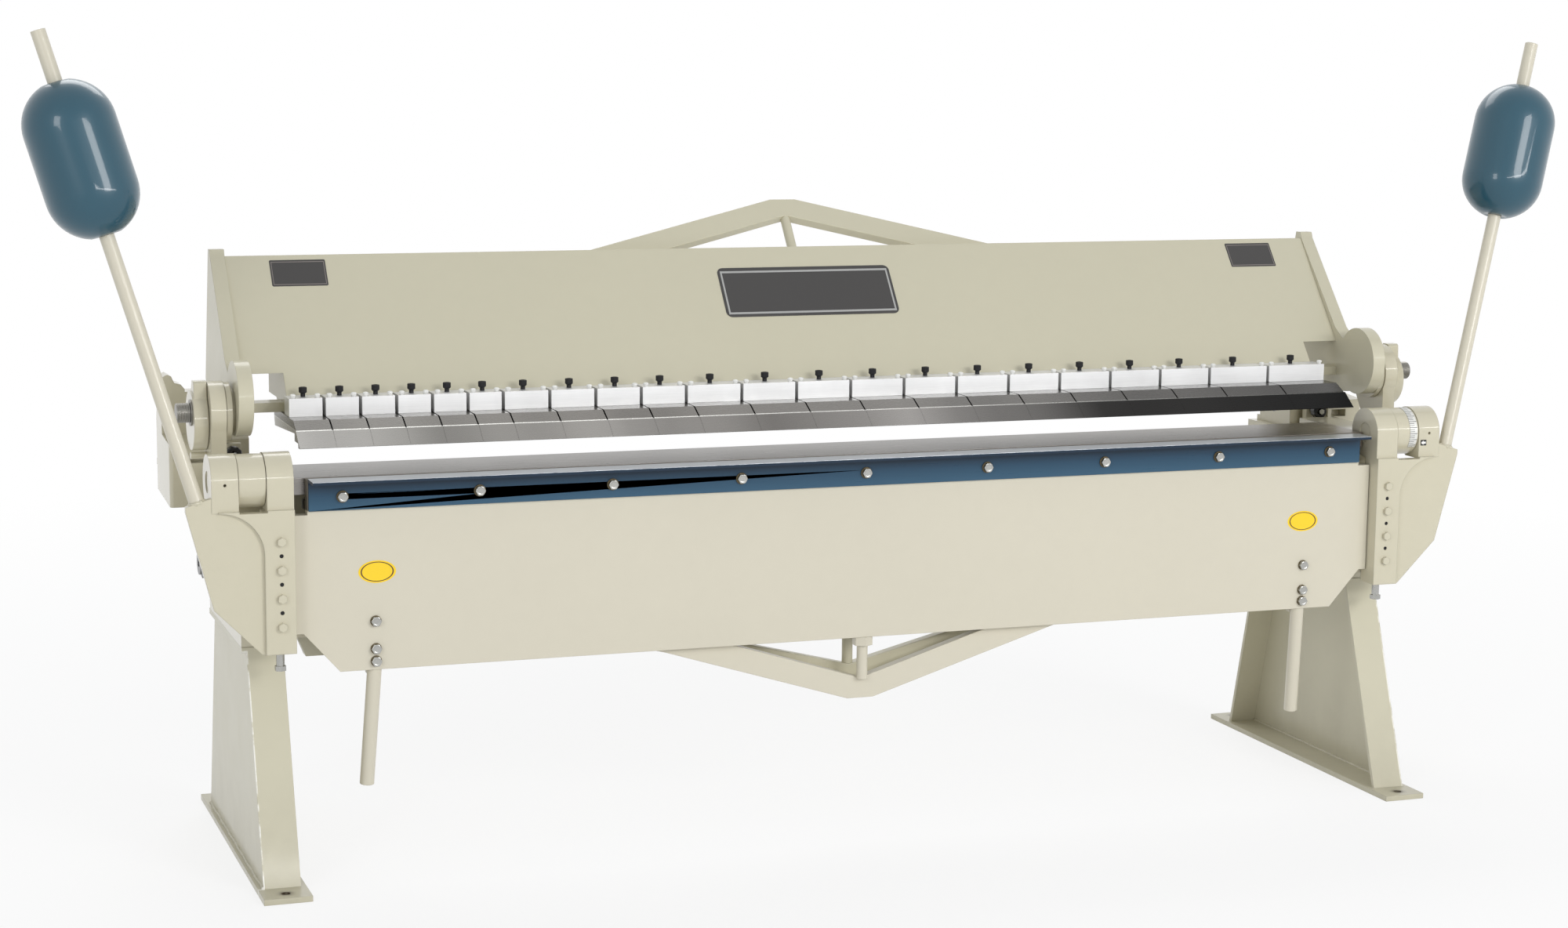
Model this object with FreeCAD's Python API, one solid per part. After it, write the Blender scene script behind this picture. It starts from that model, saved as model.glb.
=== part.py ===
import FreeCAD, Part
import math
import os

# Box and pan brake, eight feet long, for bending sheet steel.
# Millimetres. X runs along the length, the front faces -Y, the floor is Z = 0 and the
# machine is centred on X = 0. The work pieces of the right-hand end are drawn and mirrored.

V = FreeCAD.Vector
INCH = 25.4
STOCK_SIDES = 8
HEAD_SIDES = 12

# The two places that all heights and depths start from
BED_TOP = 835.0
AXIS_Y = -255.0

# Fingers and their clamps
FINGER_SETS = [(6, 3), (4, 4), (10, 5), (2, 6)]
ROW_HALF = sum(count * inches for count, inches in FINGER_SETS) * INCH / 2
FINGER_NOSE_GAP = 0.4
FINGER_BODY_GAP = 3.2
BLOCK_GAP = 7.0
TIP_Y = AXIS_Y + 12.0
TIP_OPEN = 57.0
TIP_LAND = 0.8
NOSE_DEPTH = 40.0
NOSE_RISE = 31.0
NOSE_LEDGE = 4.0
FACET_RUN = 34.0
FACET_RISE = 17.0
FINGER_THICK = 22.0
FINGER_TAIL = 60.0
BLOCK_FRONT = -110.0
BLOCK_HEIGHT = 38.0
SCREW_D = 10.0
SCREW_HEAD_D = 17.0
SCREW_HEAD_H = 12.0
SCREW_STAND = 8.0
SCREW_GRIP = 16.0
BUTTON_D = 11.0
BUTTON_H = 9.0
BUTTON_INSET = 12.5
BUTTON_SETBACK = 8.0
SCREW_SETBACK = 32.0

# Bend line, hinge and bed
SEAM = 2.0
BED_PLATE_T = 35.0
BED_PLATE_BACK = -72.0
BED_WEB_FRONT = -190.0
BED_WEB_T = 30.0
BED_WEB_BOTTOM = BED_TOP - 383.0
BED_WEB_HALF = ROW_HALF + 2.8
BED_PLATE_HALF = BED_WEB_HALF + 18.0
BED_CORNER_RISE = 46.0
BED_CORNER_RUN = 19.0
KNUCKLE_R = 54.0
SCALE_SEAT = 0.3
SCALE_T = 0.6
SCALE_W = 19.0
KNUCKLE_X = BED_WEB_HALF + 77.0
KNUCKLE_W = 54.0
KNUCKLE_GAP = 4.0
OIL_HOLE_R = 3.0
BOSS_R = 56.0
BOSS_W = 54.0
SIDE_GAP = 1.0
PIN_R = 22.0
RUNNING_FIT = 0.05

# Legs
BASE_HALF_LENGTH = 422.0
LEG_X = BED_WEB_HALF + 27.0
LEG_DEPTH = 76.0
LEG_PLATE_T = 9.5
LEG_HEIGHT = BED_TOP - 369.0
LEG_FOOT_FRONT = 72.0 - BASE_HALF_LENGTH
LEG_FOOT_BACK = BASE_HALF_LENGTH - 77.0
LEG_NECK_FRONT = -190.0
LEG_NECK_BACK = 232.0
BASE_WIDTH = 98.0
BASE_T = 12.0
CAP_T = 12.0
CAP_MARGIN = 10.0
ANCHOR_Y = BASE_HALF_LENGTH - 32.0
ANCHOR_D = 18.0

# Bed ends
END_X = BED_WEB_HALF + 21.0
END_W = 92.0
END_FRONT = -188.0
END_BACK = 236.0
SLIDEWAY_Z = BED_TOP - 40.0
SLIDEWAY_FRONT = 40.0
SLIDEWAY_BACK = 290.0
END_FLANGE_W = 100.0
END_FLANGE_T = 28.0
END_BOLT_D = 20.0
ARM_NECK_Y = -178.0

# Apron, the leaf that bends
APRON_HALF = BED_WEB_HALF + 20.0
APRON_FRONT = AXIS_Y - 29.0
APRON_T = 25.4
APRON_BOTTOM = BED_TOP - 399.0
APRON_CORNER_X = APRON_HALF - 18.0
APRON_CORNER_Z = BED_TOP - 316.0
APRON_CHAMFER_X = APRON_HALF - 92.0
EDGE_BAR_H = 64.0
EDGE_BAR_HALF = APRON_HALF - 29.0
END_STEP = 8.0
PAD_X = APRON_HALF - 72.0
PAD_T = 22.0
ANGLE_HALF = EDGE_BAR_HALF - 2.0
ANGLE_T = 6.4
ANGLE_LEG = 66.0
ANGLE_LIP = 55.0
ANGLE_RISE = 2.2
ANGLE_BOLT_COUNT = 9
ANGLE_BOLT_INSET = 74.4
ANGLE_BOLT_PITCH = 2 * (ANGLE_HALF - ANGLE_BOLT_INSET) / (ANGLE_BOLT_COUNT - 1)
ANGLE_BOLT_SHIFT = -6.1
ANGLE_BOLT_Z = BED_TOP - 35.8
BOLT_AF = 19.0
BOLT_HEAD = 8.0
BOLT_D = 12.0
WASHER_D = 25.0
WASHER_T = 2.5

# Apron end castings
CAST_X = APRON_HALF + 2.0
CAST_FRONT = AXIS_Y - 63.0
CAST_BACK = AXIS_Y - 7.0
CAST_FLANGE_W = 61.0
CAST_BOTTOM = BED_TOP - 348.0
CAST_OUTER = CAST_X + 215.0
CAST_SHOULDER_Z = BED_TOP - 52.0
CAST_KNEE_X = CAST_X + 163.0
CAST_KNEE_Z = BED_TOP - 252.0
CAST_TOE_X = CAST_X + 68.0
CAST_WEB_T = 14.0
CAST_FILLET_R = 90.0
CAST_BOLT_X = CAST_X + 28.0
CAST_BOLT_Z = BED_TOP - 292.0
CAST_BOLT_PITCH = 58.1
CAST_BOLT_AF = 17.0
CAST_BOLT_D = 10.0
DOWEL_D = 8.0
ADJUSTER_Y = AXIS_Y - 28.0
ADJUSTER_D = 16.0
ADJUSTER_AF = 21.0
ADJUSTER_DROP = 40.0

# Counterweights
ROD_D = 30.0
ROD_FOOT = V(CAST_OUTER - 23.3, AXIS_Y - 38.0, BED_TOP - 32.0)
ROD_TOP = ROD_FOOT + V(267.9, 125.0, 922.0)
ROD_TAIL = 60.0
ROD_SEAT = 10.0
SOCKET_D = 46.0
WEIGHT_D = 184.0
WEIGHT_LENGTH = 320.0
WEIGHT_REACH = 707.0
ROD_SLACK = 0.1
DOME_STEPS = 4

# Handles under the apron
HANDLE_X = APRON_HALF - 166.0
HANDLE_D = 30.0
HANDLE_BOTTOM = BED_TOP - 650.0
HANDLE_TOP = BED_TOP - 273.0
HANDLE_SWEEP = 35.0
HANDLE_SPLAY = 12.0
HANDLE_Y = AXIS_Y - 13.0
TANG_T = 15.0
TANG_GAP = 0.3
HANDLE_BOLTS = (HANDLE_TOP - 24.5, HANDLE_TOP - 82.0, HANDLE_TOP - 108.0)

# Truss bars with their jack posts
TRUSS_BAR = 52.0
TRUSS_T = 25.0
TRUSS_SLOPE = 0.29
TRUSS_OVERLAP = 40.0
APRON_TRUSS_SLOPE = 0.31
POST_D = 24.0
POST_NUT_AF = 39.0
POST_NUT_H = 20.0
APRON_TRUSS_DROP = 150.0
BED_TRUSS_DROP = 150.0
BED_TRUSS_SLOPE = 0.25
LEAF_TRUSS_RISE = 158.0

# Top leaf
LEAF_TOP_Y = 166.0
LEAF_TOP_Z = BED_TOP + 418.0
LEAF_LEAN = 0.797
LEAF_T = 25.0
LEAF_HALF = BED_WEB_HALF + 78.0
LEAF_SILL = BED_TOP + 141.0
NOTCH_X = LEAF_HALF - 89.0
NOTCH_Z = BED_TOP + 186.0
BAR_T = 20.0
BAR_FRONT = -53.0
SILL_T = 16.0
BACK_Y = 145.0
BACK_T = 15.0
RIB_T = 16.0
RIB_COUNT = 6
TONGUE_FRONT = -23.0
TONGUE_BACK = 27.0
LEAF_END_T = 31.0
END_PLATE_RISE = 14.0
END_PLATE_TOP_BACK = 188.0
END_PLATE_BACK = 256.0
PROUD_TOP = 4.0
PROUD_LOW = 18.0
DISC_Y = -112.0
DISC_Z = BED_TOP + 148.0
DISC_R = 77.5

# Clamping linkage at each end
PIVOT_Y = 200.0
PIVOT_Z = BED_TOP + 10.0
PIVOT_R = 20.0
EAR_R = 34.0
TRUNNION_Y = -98.0
TRUNNION_Z = BED_TOP + 120.0
HUB_R = 47.0
HUB_LENGTH = 19.0
JOURNAL_R = 21.0
STUD_R = 19.5
STUD_OUT = 31.0
STUD_WASHER_R = 27.0
STUD_WASHER_T = 3.0
HUB_RING_R = 61.0
HUB_RING_T = 12.0
RING_GAP = 0.3
BLIND_WALL = 9.0
LINK_T = 32.0
LINK_HALF = 54.0
LINK_HEAD_R = 64.0
LINK_FOOT_HALF = 60.0
LINK_WALL = 24.0
WAIST_HALF = 37.0
WAIST_TOP_Z = BED_TOP + 58.0
WAIST_Z = BED_TOP + 17.0
WAIST_FOOT_Z = BED_TOP - 3.0
PLATE_GAP = 1.0
CAM_DISC_T = 30.0
CAM_DISC_R = 62.0
CAM_DISC_Y = -79.0
CAM_DISC_Z = BED_TOP + 102.0
LOCK_PIN_D = 14.0
LOCK_PIN_Z = BED_TOP + 30.0
CRANK_Y = -76.0
CRANK_Z = BED_TOP - 195.0
CRANK_THROW = 33.3
CRANK_HALF_ANGLE = 35.0
CRANK_PIN_R = 20.0
CRANK_SLACK = 1.0
CRANK_JOURNAL_R = 24.0
CRANK_CHEEK_T = 12.0
CRANK_CHEEK_R = 30.0
CRANK_HUB_R = 26.0
CRANK_HUB_L = 6.0
CRANK_DRIVE = 19.0
CRANK_DRIVE_DEPTH = 14.0
SLOT_PLAY = 21.0

# Setback slides at the back
SLIDE_FRONT = 120.0
SLIDE_BACK = 280.0
SLIDE_INNER = LEAF_HALF - 38.0
SLIDE_FOOT_T = 13.0
SLIDE_WALL_T = 15.0
CHEEK_TOP = BED_TOP + 70.0
CHEEK_GAP = 2.0
BLOCK_X = LEAF_HALF + 43.0
BLOCK_OUTER = BLOCK_X + 93.0
BLOCK_BOTTOM = BED_TOP - 105.0
BLOCK_FACE_Y = 80.0
BLOCK_ROUND = 8.0
HORN_FRONT = PIVOT_Y - 12.0
HORN_BACK = PIVOT_Y + 46.0
HORN_FOOT = PIVOT_Z + 117.0
POCKET_X = BLOCK_X + 10.0
POCKET_W = 39.0
POCKET_Z = BED_TOP - 11.0
POCKET_H = 17.0
POCKET_DEPTH = 30.0
TONGUE_W = 30.0
TONGUE_H = 12.0
TONGUE_FIT = 0.1
SETBACK_X = LEAF_HALF + 5.0
SETBACK_Z = BED_TOP + 7.0
SETBACK_D = 14.0
SETBACK_LUG_T = 18.0
KNOB_D = 36.0
KNOB_T = 22.0
KNOB_Y = 48.0
KNOB_SEAT_AF = 12.0


# Shapes that the sub-parts share
def box(x0, x1, y0, y1, z0, z1):
    return Part.makeBox(x1 - x0, y1 - y0, z1 - z0, V(x0, y0, z0))


def plate_x(points, x0, x1):
    """A plate seen from the end: points are (y, z), it runs from x0 to x1."""
    wire = Part.makePolygon([V(x0, y, z) for y, z in points + points[:1]])
    return Part.Face(wire).extrude(V(x1 - x0, 0, 0))


def plate_y(points, y0, y1):
    """A plate seen from the front: points are (x, z), it runs from y0 to y1."""
    wire = Part.makePolygon([V(x, y0, z) for x, z in points + points[:1]])
    return Part.Face(wire).extrude(V(0, y1 - y0, 0))


def plate_z(points, z0, z1):
    """A plate seen from above: points are (x, y), it runs from z0 to z1."""
    wire = Part.makePolygon([V(x, y, z0) for x, y in points + points[:1]])
    return Part.Face(wire).extrude(V(0, 0, z1 - z0))


def bar_x(radius, x0, x1, y, z):
    return Part.makeCylinder(radius, x1 - x0, V(x0, y, z), V(1, 0, 0))


def bar_y(radius, y0, y1, x, z):
    return Part.makeCylinder(radius, y1 - y0, V(x, y0, z), V(0, 1, 0))


def bar_z(radius, z0, z1, x, y):
    return Part.makeCylinder(radius, z1 - z0, V(x, y, z0), V(0, 0, 1))


def join(shapes):
    shapes = list(shapes)
    body = shapes[0]
    if len(shapes) > 1:
        body = body.fuse(shapes[1:])
    return body.removeSplitter()


def mirrored(shape):
    return shape.mirror(V(0, 0, 0), V(1, 0, 0))


def both_ends(shape):
    return Part.makeCompound([shape, mirrored(shape)])


def prism(sides, across_flats, height, centre, direction):
    """An even-sided prism from centre along direction; small repeated fasteners use it for round stock."""
    radius = across_flats / 2 / math.cos(math.pi / sides)
    corners = []
    for step in range(sides + 1):
        angle = 2 * math.pi * (step + 0.5) / sides
        corners.append(V(radius * math.cos(angle), radius * math.sin(angle), 0))
    body = Part.Face(Part.makePolygon(corners)).extrude(V(0, 0, height))
    turn = FreeCAD.Rotation(V(0, 0, 1), direction)
    body.Placement = FreeCAD.Placement(centre, turn)
    return body


def hexagon(across_flats, height, centre, direction):
    return prism(6, across_flats, height, centre, direction)


def stock_y(diameter, y0, y1, x, z):
    """Round stock of a small fastener along Y, eight-sided to stay light."""
    return prism(STOCK_SIDES, diameter, y1 - y0, V(x, y0, z), V(0, 1, 0))


def stock_z(diameter, z0, z1, x, y):
    return prism(STOCK_SIDES, diameter, z1 - z0, V(x, y, z0), V(0, 0, 1))


def front_bolt(x, y, z, flats, shank, length, washer=True):
    """A hexagon bolt driven from the front, its washer on the face at y."""
    seat = y - (WASHER_T if washer else 0.0)
    pieces = [hexagon(flats, BOLT_HEAD, V(x, seat - BOLT_HEAD, z), V(0, 1, 0))]
    if washer:
        pieces.append(prism(HEAD_SIDES, WASHER_D, WASHER_T, V(x, seat, z), V(0, 1, 0)))
    pieces.append(stock_y(shank, seat, y + length, x, z))
    return join(pieces)


def truss_outline(half_rise, slope, base, direction):
    """The bent bar of a truss, (x, z) points: its elbow stands half_rise from base."""
    depth = TRUSS_BAR * math.sqrt(1 + slope * slope)
    outer_x = half_rise / slope
    inner_x = (half_rise - depth) / slope
    elbow = base + direction * half_rise
    inner = base + direction * (half_rise - depth)
    blunt = 30.0
    flat = elbow - direction * blunt * slope
    return [(-outer_x, base), (-blunt, flat), (blunt, flat), (outer_x, base),
            (inner_x, base), (0, inner), (-inner_x, base)]


# Places worked out from the sizes above
TIP_Z = BED_TOP + TIP_OPEN
LEDGE_Y = TIP_Y + NOSE_DEPTH
LEDGE_Z = TIP_Z + NOSE_RISE
FINGER_TOP = LEDGE_Z + FACET_RISE
FINGER_BELLY = FINGER_TOP - FINGER_THICK
BAR_TOP = FINGER_TOP + BAR_T
KNUCKLE_END = KNUCKLE_X + KNUCKLE_W
INNER_BOSS_END = KNUCKLE_X - SIDE_GAP
OUTER_BOSS_X = KNUCKLE_END + SIDE_GAP
OUTER_BOSS_END = OUTER_BOSS_X + BOSS_W
LEG_TOP_Z = LEG_HEIGHT + CAP_T
END_OUTER = END_X + END_W
LEAF_END_OUTER = LEAF_HALF + LEAF_END_T
LINK_X = LEAF_END_OUTER + HUB_LENGTH + PLATE_GAP
LINK_END = LINK_X + LINK_T
CAM_DISC_X = LINK_END + PLATE_GAP
STUD_END = CAM_DISC_X + CAM_DISC_T + STUD_OUT
EDGE_BAR_Z = BED_TOP - EDGE_BAR_H
ROD_AXIS = (ROD_TOP - ROD_FOOT).normalize()


def finger_widths():
    widths = []
    for count, inches in FINGER_SETS:
        widths += [inches * INCH] * count
    return widths


def finger_places():
    """Each finger's (left edge, width), from the left end of the row."""
    widths = finger_widths()
    left = -sum(widths) / 2
    places = []
    for width in widths:
        places.append((left, width))
        left += width
    return places


# Fingers: a slim body that lies under the leaf's bar and a thick nose in front of it
def finger(left, width):
    facet_y = LEDGE_Y + NOSE_LEDGE + FACET_RUN
    tail = [(FINGER_TAIL, FINGER_TOP), (FINGER_TAIL, FINGER_TOP - 16), (FINGER_TAIL - 8, FINGER_BELLY - 16)]
    body = [(facet_y, FINGER_TOP)] + tail + [
        (LEDGE_Y + 16, FINGER_BELLY - 2), (LEDGE_Y + NOSE_LEDGE, LEDGE_Z)]
    nose_back = LEDGE_Y + 16
    nose = [(TIP_Y, TIP_Z + TIP_LAND), (LEDGE_Y, LEDGE_Z), (LEDGE_Y + NOSE_LEDGE, LEDGE_Z),
            (nose_back, FINGER_BELLY - 1), (nose_back, TIP_Z + 9), (TIP_Y + 17, TIP_Z + 9),
            (TIP_Y + 15, TIP_Z), (TIP_Y + TIP_LAND, TIP_Z)]
    half_body = FINGER_BODY_GAP / 2
    half_nose = FINGER_NOSE_GAP / 2
    shape = join([plate_x(body, left + half_body, left + width - half_body),
                  plate_x(nose, left + half_nose, left + width - half_nose)])
    hole = stock_z(SCREW_D, FINGER_TOP - SCREW_GRIP, FINGER_TOP + 1, left + width / 2, screw_y())
    return shape.cut(hole)


def screw_y():
    return BLOCK_FRONT + SCREW_SETBACK


def clamp_block(left, width):
    x0 = left + BLOCK_GAP / 2
    x1 = left + width - BLOCK_GAP / 2
    block = box(x0, x1, BLOCK_FRONT, BAR_FRONT - 3, FINGER_TOP, FINGER_TOP + BLOCK_HEIGHT)
    hole = stock_z(SCREW_D, FINGER_TOP - 1, FINGER_TOP + BLOCK_HEIGHT + 1, left + width / 2, screw_y())
    return block.cut(hole)


def clamp_screw(left, width):
    x = left + width / 2
    y = screw_y()
    head = FINGER_TOP + BLOCK_HEIGHT + SCREW_STAND
    shank = stock_z(SCREW_D, FINGER_TOP - SCREW_GRIP, head, x, y)
    cap = prism(HEAD_SIDES, SCREW_HEAD_D, SCREW_HEAD_H, V(x, y, head), V(0, 0, 1))
    return join([shank, cap])


def clamp_buttons(left, width):
    """Two round-headed locating pins that stand on each clamp block."""
    top = FINGER_TOP + BLOCK_HEIGHT
    return [stock_z(BUTTON_D, top, top + BUTTON_H, x, BLOCK_FRONT + BUTTON_SETBACK)
            for x in (left + BUTTON_INSET, left + width - BUTTON_INSET)]


# Legs: a channel that widens to the floor between a base plate and a cap plate
def leg():
    x1 = LEG_X + LEG_DEPTH
    outline = [(LEG_FOOT_FRONT, BASE_T), (LEG_FOOT_BACK, BASE_T),
               (LEG_NECK_BACK, LEG_HEIGHT), (LEG_NECK_FRONT, LEG_HEIGHT)]
    inside = [(LEG_FOOT_FRONT + LEG_PLATE_T, BASE_T - 1), (LEG_FOOT_BACK - LEG_PLATE_T, BASE_T - 1),
              (LEG_NECK_BACK - LEG_PLATE_T, LEG_HEIGHT + 1), (LEG_NECK_FRONT + LEG_PLATE_T, LEG_HEIGHT + 1)]
    channel = plate_x(outline, LEG_X, x1).cut(plate_x(inside, LEG_X - 1, x1 - LEG_PLATE_T))
    centre = LEG_X + LEG_DEPTH / 2
    base = box(centre - BASE_WIDTH / 2, centre + BASE_WIDTH / 2,
               -BASE_HALF_LENGTH, BASE_HALF_LENGTH, 0, BASE_T)
    cap = box(LEG_X - CAP_MARGIN + 2, x1 + CAP_MARGIN, LEG_NECK_FRONT, LEG_NECK_BACK + CAP_MARGIN,
              LEG_HEIGHT, LEG_TOP_Z)
    shape = join([channel, base, cap])
    for y in (-ANCHOR_Y, ANCHOR_Y):
        shape = shape.cut(bar_z(ANCHOR_D / 2, -1, BASE_T + 1, centre, y))
    return shape


# Bed: a steel top plate on an upright web, with a truss bar below
def bed_plate():
    return box(-BED_PLATE_HALF, BED_PLATE_HALF, AXIS_Y + SEAM, BED_PLATE_BACK,
               BED_TOP - BED_PLATE_T, BED_TOP)


def bed_web():
    bottom = BED_WEB_BOTTOM
    corner = BED_WEB_HALF - BED_CORNER_RUN
    half = [(corner, bottom), (BED_WEB_HALF, bottom + BED_CORNER_RISE),
            (BED_WEB_HALF, BED_TOP - BED_PLATE_T)]
    outline = half + [(-x, z) for x, z in reversed(half)]
    web = plate_y(outline, BED_WEB_FRONT, BED_WEB_FRONT + BED_WEB_T)
    shelf = box(-BED_WEB_HALF + 100, BED_WEB_HALF - 100, BED_WEB_FRONT + BED_WEB_T, BED_PLATE_BACK - 4,
                BED_WEB_BOTTOM + 40, BED_WEB_BOTTOM + 60)
    pieces = [web, shelf]
    for x in bed_rib_places():
        pieces.append(box(x - 8, x + 8, BED_WEB_FRONT + BED_WEB_T, BED_PLATE_BACK - 4,
                          BED_WEB_BOTTOM + 60, BED_TOP - BED_PLATE_T))
    for sign in (-1, 1):
        for z in end_bolt_places():
            x = sign * (END_X - END_FLANGE_W / 2)
            hole = stock_y(END_BOLT_D, BED_WEB_FRONT - 1, BED_WEB_FRONT + BED_WEB_T + 1, x, z)
            pieces[0] = pieces[0].cut(hole)
    return join(pieces)


def bed_rib_places():
    count = 5
    span = 2 * (BED_WEB_HALF - 140)
    return [-span / 2 + span * i / (count - 1) for i in range(count)]


def end_bolt_places():
    return [BED_WEB_BOTTOM + 80 + 80 * i for i in range(4)]


def post(y, low, high, nut_at, truss):
    """The jack post of a truss, shaped to its elbow, with its nut against the plate it pushes on."""
    rod = bar_z(POST_D / 2, low, high, 0, y).cut(truss)
    nut = hexagon(POST_NUT_AF, POST_NUT_H, V(0, y, nut_at), V(0, 0, 1))
    return join([rod, nut])


def bed_truss():
    y0 = BED_WEB_FRONT + (BED_WEB_T - TRUSS_T) / 2
    return plate_y(truss_outline(BED_TRUSS_DROP, BED_TRUSS_SLOPE, BED_WEB_BOTTOM, -1), y0, y0 + TRUSS_T)


def bed_truss_post():
    depth = TRUSS_BAR * math.sqrt(1 + BED_TRUSS_SLOPE ** 2)
    low = BED_WEB_BOTTOM - BED_TRUSS_DROP + depth
    return post(BED_WEB_FRONT + BED_WEB_T / 2, low, BED_WEB_BOTTOM, BED_WEB_BOTTOM - POST_NUT_H,
                bed_truss())


def bed_end():
    slab = plate_x([(END_FRONT, LEG_TOP_Z), (END_BACK - 6, LEG_TOP_Z), (SLIDEWAY_BACK, SLIDEWAY_Z - 60),
                    (SLIDEWAY_BACK, SLIDEWAY_Z), (SLIDEWAY_FRONT, SLIDEWAY_Z),
                    (SLIDEWAY_FRONT, BED_TOP - 5),
                    (END_FRONT, BED_TOP - 5)], END_X, END_OUTER)
    flange = box(END_X - END_FLANGE_W, END_X,
                 BED_WEB_FRONT + BED_WEB_T, BED_WEB_FRONT + BED_WEB_T + END_FLANGE_T,
                 BED_WEB_BOTTOM + 40, BED_TOP - BED_PLATE_T)
    arm = plate_z([(KNUCKLE_X, AXIS_Y), (KNUCKLE_END, AXIS_Y), (KNUCKLE_END, ARM_NECK_Y - 12),
                   (END_OUTER, ARM_NECK_Y + 6), (END_OUTER, END_FRONT + 40), (KNUCKLE_X, END_FRONT + 40)],
                  BED_TOP - KNUCKLE_R, BED_TOP)
    knuckle = bar_x(KNUCKLE_R, KNUCKLE_X, KNUCKLE_END, AXIS_Y, BED_TOP)
    lug = box(SETBACK_X - 20, SETBACK_X + 20, lug_front(), lug_front() + SETBACK_LUG_T,
              SLIDEWAY_Z, SETBACK_Z + 20)
    shape = join([slab, flange, arm, knuckle, lug])
    shape = shape.cut(bar_x(PIN_R + RUNNING_FIT, KNUCKLE_X - 1, KNUCKLE_END + 1, AXIS_Y, BED_TOP))
    shape = shape.cut(bar_x(CRANK_JOURNAL_R + RUNNING_FIT, crank_tail() - 1, END_OUTER + 1,
                            CRANK_Y, CRANK_Z))
    shape = shape.cut(bar_y(SETBACK_D / 2 + RUNNING_FIT, lug_front() - 1, lug_front() + SETBACK_LUG_T + 1,
                            SETBACK_X, SETBACK_Z))
    half_groove = TONGUE_W / 2 + TONGUE_FIT
    groove = box(tongue_x() - half_groove, tongue_x() + half_groove, SLIDEWAY_FRONT + 10, SLIDEWAY_BACK + 1,
                 SLIDEWAY_Z - TONGUE_H - TONGUE_FIT, SLIDEWAY_Z + 1)
    shape = shape.cut(groove)
    for z in end_bolt_places():
        hole = stock_y(END_BOLT_D, BED_WEB_FRONT, BED_WEB_FRONT + BED_WEB_T + END_FLANGE_T + 1,
                       END_X - END_FLANGE_W / 2, z)
        shape = shape.cut(hole)
    return shape


def lug_front():
    return KNOB_Y + KNOB_T + 12


def tongue_x():
    return SLIDE_INNER + 30


def crank_tail():
    return END_X + 10


def bed_end_bolts():
    bolts = []
    for z in end_bolt_places():
        bolts.append(front_bolt(END_X - END_FLANGE_W / 2, BED_WEB_FRONT, z, 30.0, END_BOLT_D,
                                BED_WEB_T + END_FLANGE_T, washer=False))
    return both_ends(Part.makeCompound(bolts))


def degree_scale():
    seat = KNUCKLE_R + SCALE_SEAT
    ring = bar_x(seat + SCALE_T, KNUCKLE_END - SCALE_W - 3, KNUCKLE_END - 3, AXIS_Y, BED_TOP)
    ring = ring.cut(bar_x(seat, KNUCKLE_END - SCALE_W - 9, KNUCKLE_END, AXIS_Y, BED_TOP))
    front = box(KNUCKLE_X, KNUCKLE_END + 5, AXIS_Y - 100, AXIS_Y, BED_TOP - KNUCKLE_R * 0.6, BED_TOP + 100)
    return ring.common(front)


# Apron: the bending plate with its steel edge bar and removable angle
def apron_plate():
    half = [(APRON_CHAMFER_X, APRON_BOTTOM), (APRON_CORNER_X, APRON_CORNER_Z), (APRON_HALF, APRON_CORNER_Z),
            (APRON_HALF, EDGE_BAR_Z - END_STEP), (EDGE_BAR_HALF, EDGE_BAR_Z - END_STEP),
            (EDGE_BAR_HALF, EDGE_BAR_Z)]
    outline = half + [(-x, z) for x, z in reversed(half)]
    back = APRON_FRONT + APRON_T
    pieces = [plate_y(outline, APRON_FRONT, back)]
    for sign in (-1, 1):
        near, far = sorted((sign * PAD_X, sign * (CAST_X + CAST_FLANGE_W)))
        pieces.append(box(near, far, back, back + PAD_T, CAST_BOTTOM + 20, EDGE_BAR_Z - 2 * END_STEP))
    shape = join(pieces)
    for sign in (-1, 1):
        for z in cast_bolt_places():
            shape = shape.cut(stock_y(CAST_BOLT_D, back - 40, back + PAD_T + 1, sign * CAST_BOLT_X, z))
        for z in HANDLE_BOLTS:
            shape = shape.cut(stock_y(BOLT_D, APRON_FRONT - 1, back + 1, sign * HANDLE_X, z))
    return shape


def apron_edge_bar():
    bar = box(-EDGE_BAR_HALF, EDGE_BAR_HALF, APRON_FRONT, AXIS_Y - SEAM, EDGE_BAR_Z, BED_TOP)
    for x in angle_bolt_places():
        bar = bar.cut(stock_y(BOLT_D, APRON_FRONT - 1, AXIS_Y - 6, x, ANGLE_BOLT_Z))
    return bar


def apron_angle():
    top = BED_TOP + ANGLE_RISE
    front = APRON_FRONT - ANGLE_T
    profile = [(APRON_FRONT, top), (APRON_FRONT - ANGLE_LIP, top), (APRON_FRONT - ANGLE_LIP, top - ANGLE_T),
               (front - 5, top - ANGLE_T), (front, top - ANGLE_T - 5), (front, top - ANGLE_LEG),
               (APRON_FRONT, top - ANGLE_LEG)]
    angle = plate_x(profile, -ANGLE_HALF, ANGLE_HALF)
    for x in angle_bolt_places():
        angle = angle.cut(stock_y(BOLT_D, front - 1, APRON_FRONT + 1, x, ANGLE_BOLT_Z))
    return angle


def angle_bolt_places():
    middle = (ANGLE_BOLT_COUNT - 1) / 2
    return [ANGLE_BOLT_SHIFT + ANGLE_BOLT_PITCH * (i - middle) for i in range(ANGLE_BOLT_COUNT)]


def angle_bolts():
    length = APRON_FRONT * -1 + AXIS_Y - 8 + ANGLE_T
    return Part.makeCompound([front_bolt(x, APRON_FRONT - ANGLE_T, ANGLE_BOLT_Z, BOLT_AF, BOLT_D, length)
                              for x in angle_bolt_places()])


def cast_bolt_places():
    return [CAST_BOLT_Z + CAST_BOLT_PITCH * i for i in range(4)]


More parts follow.
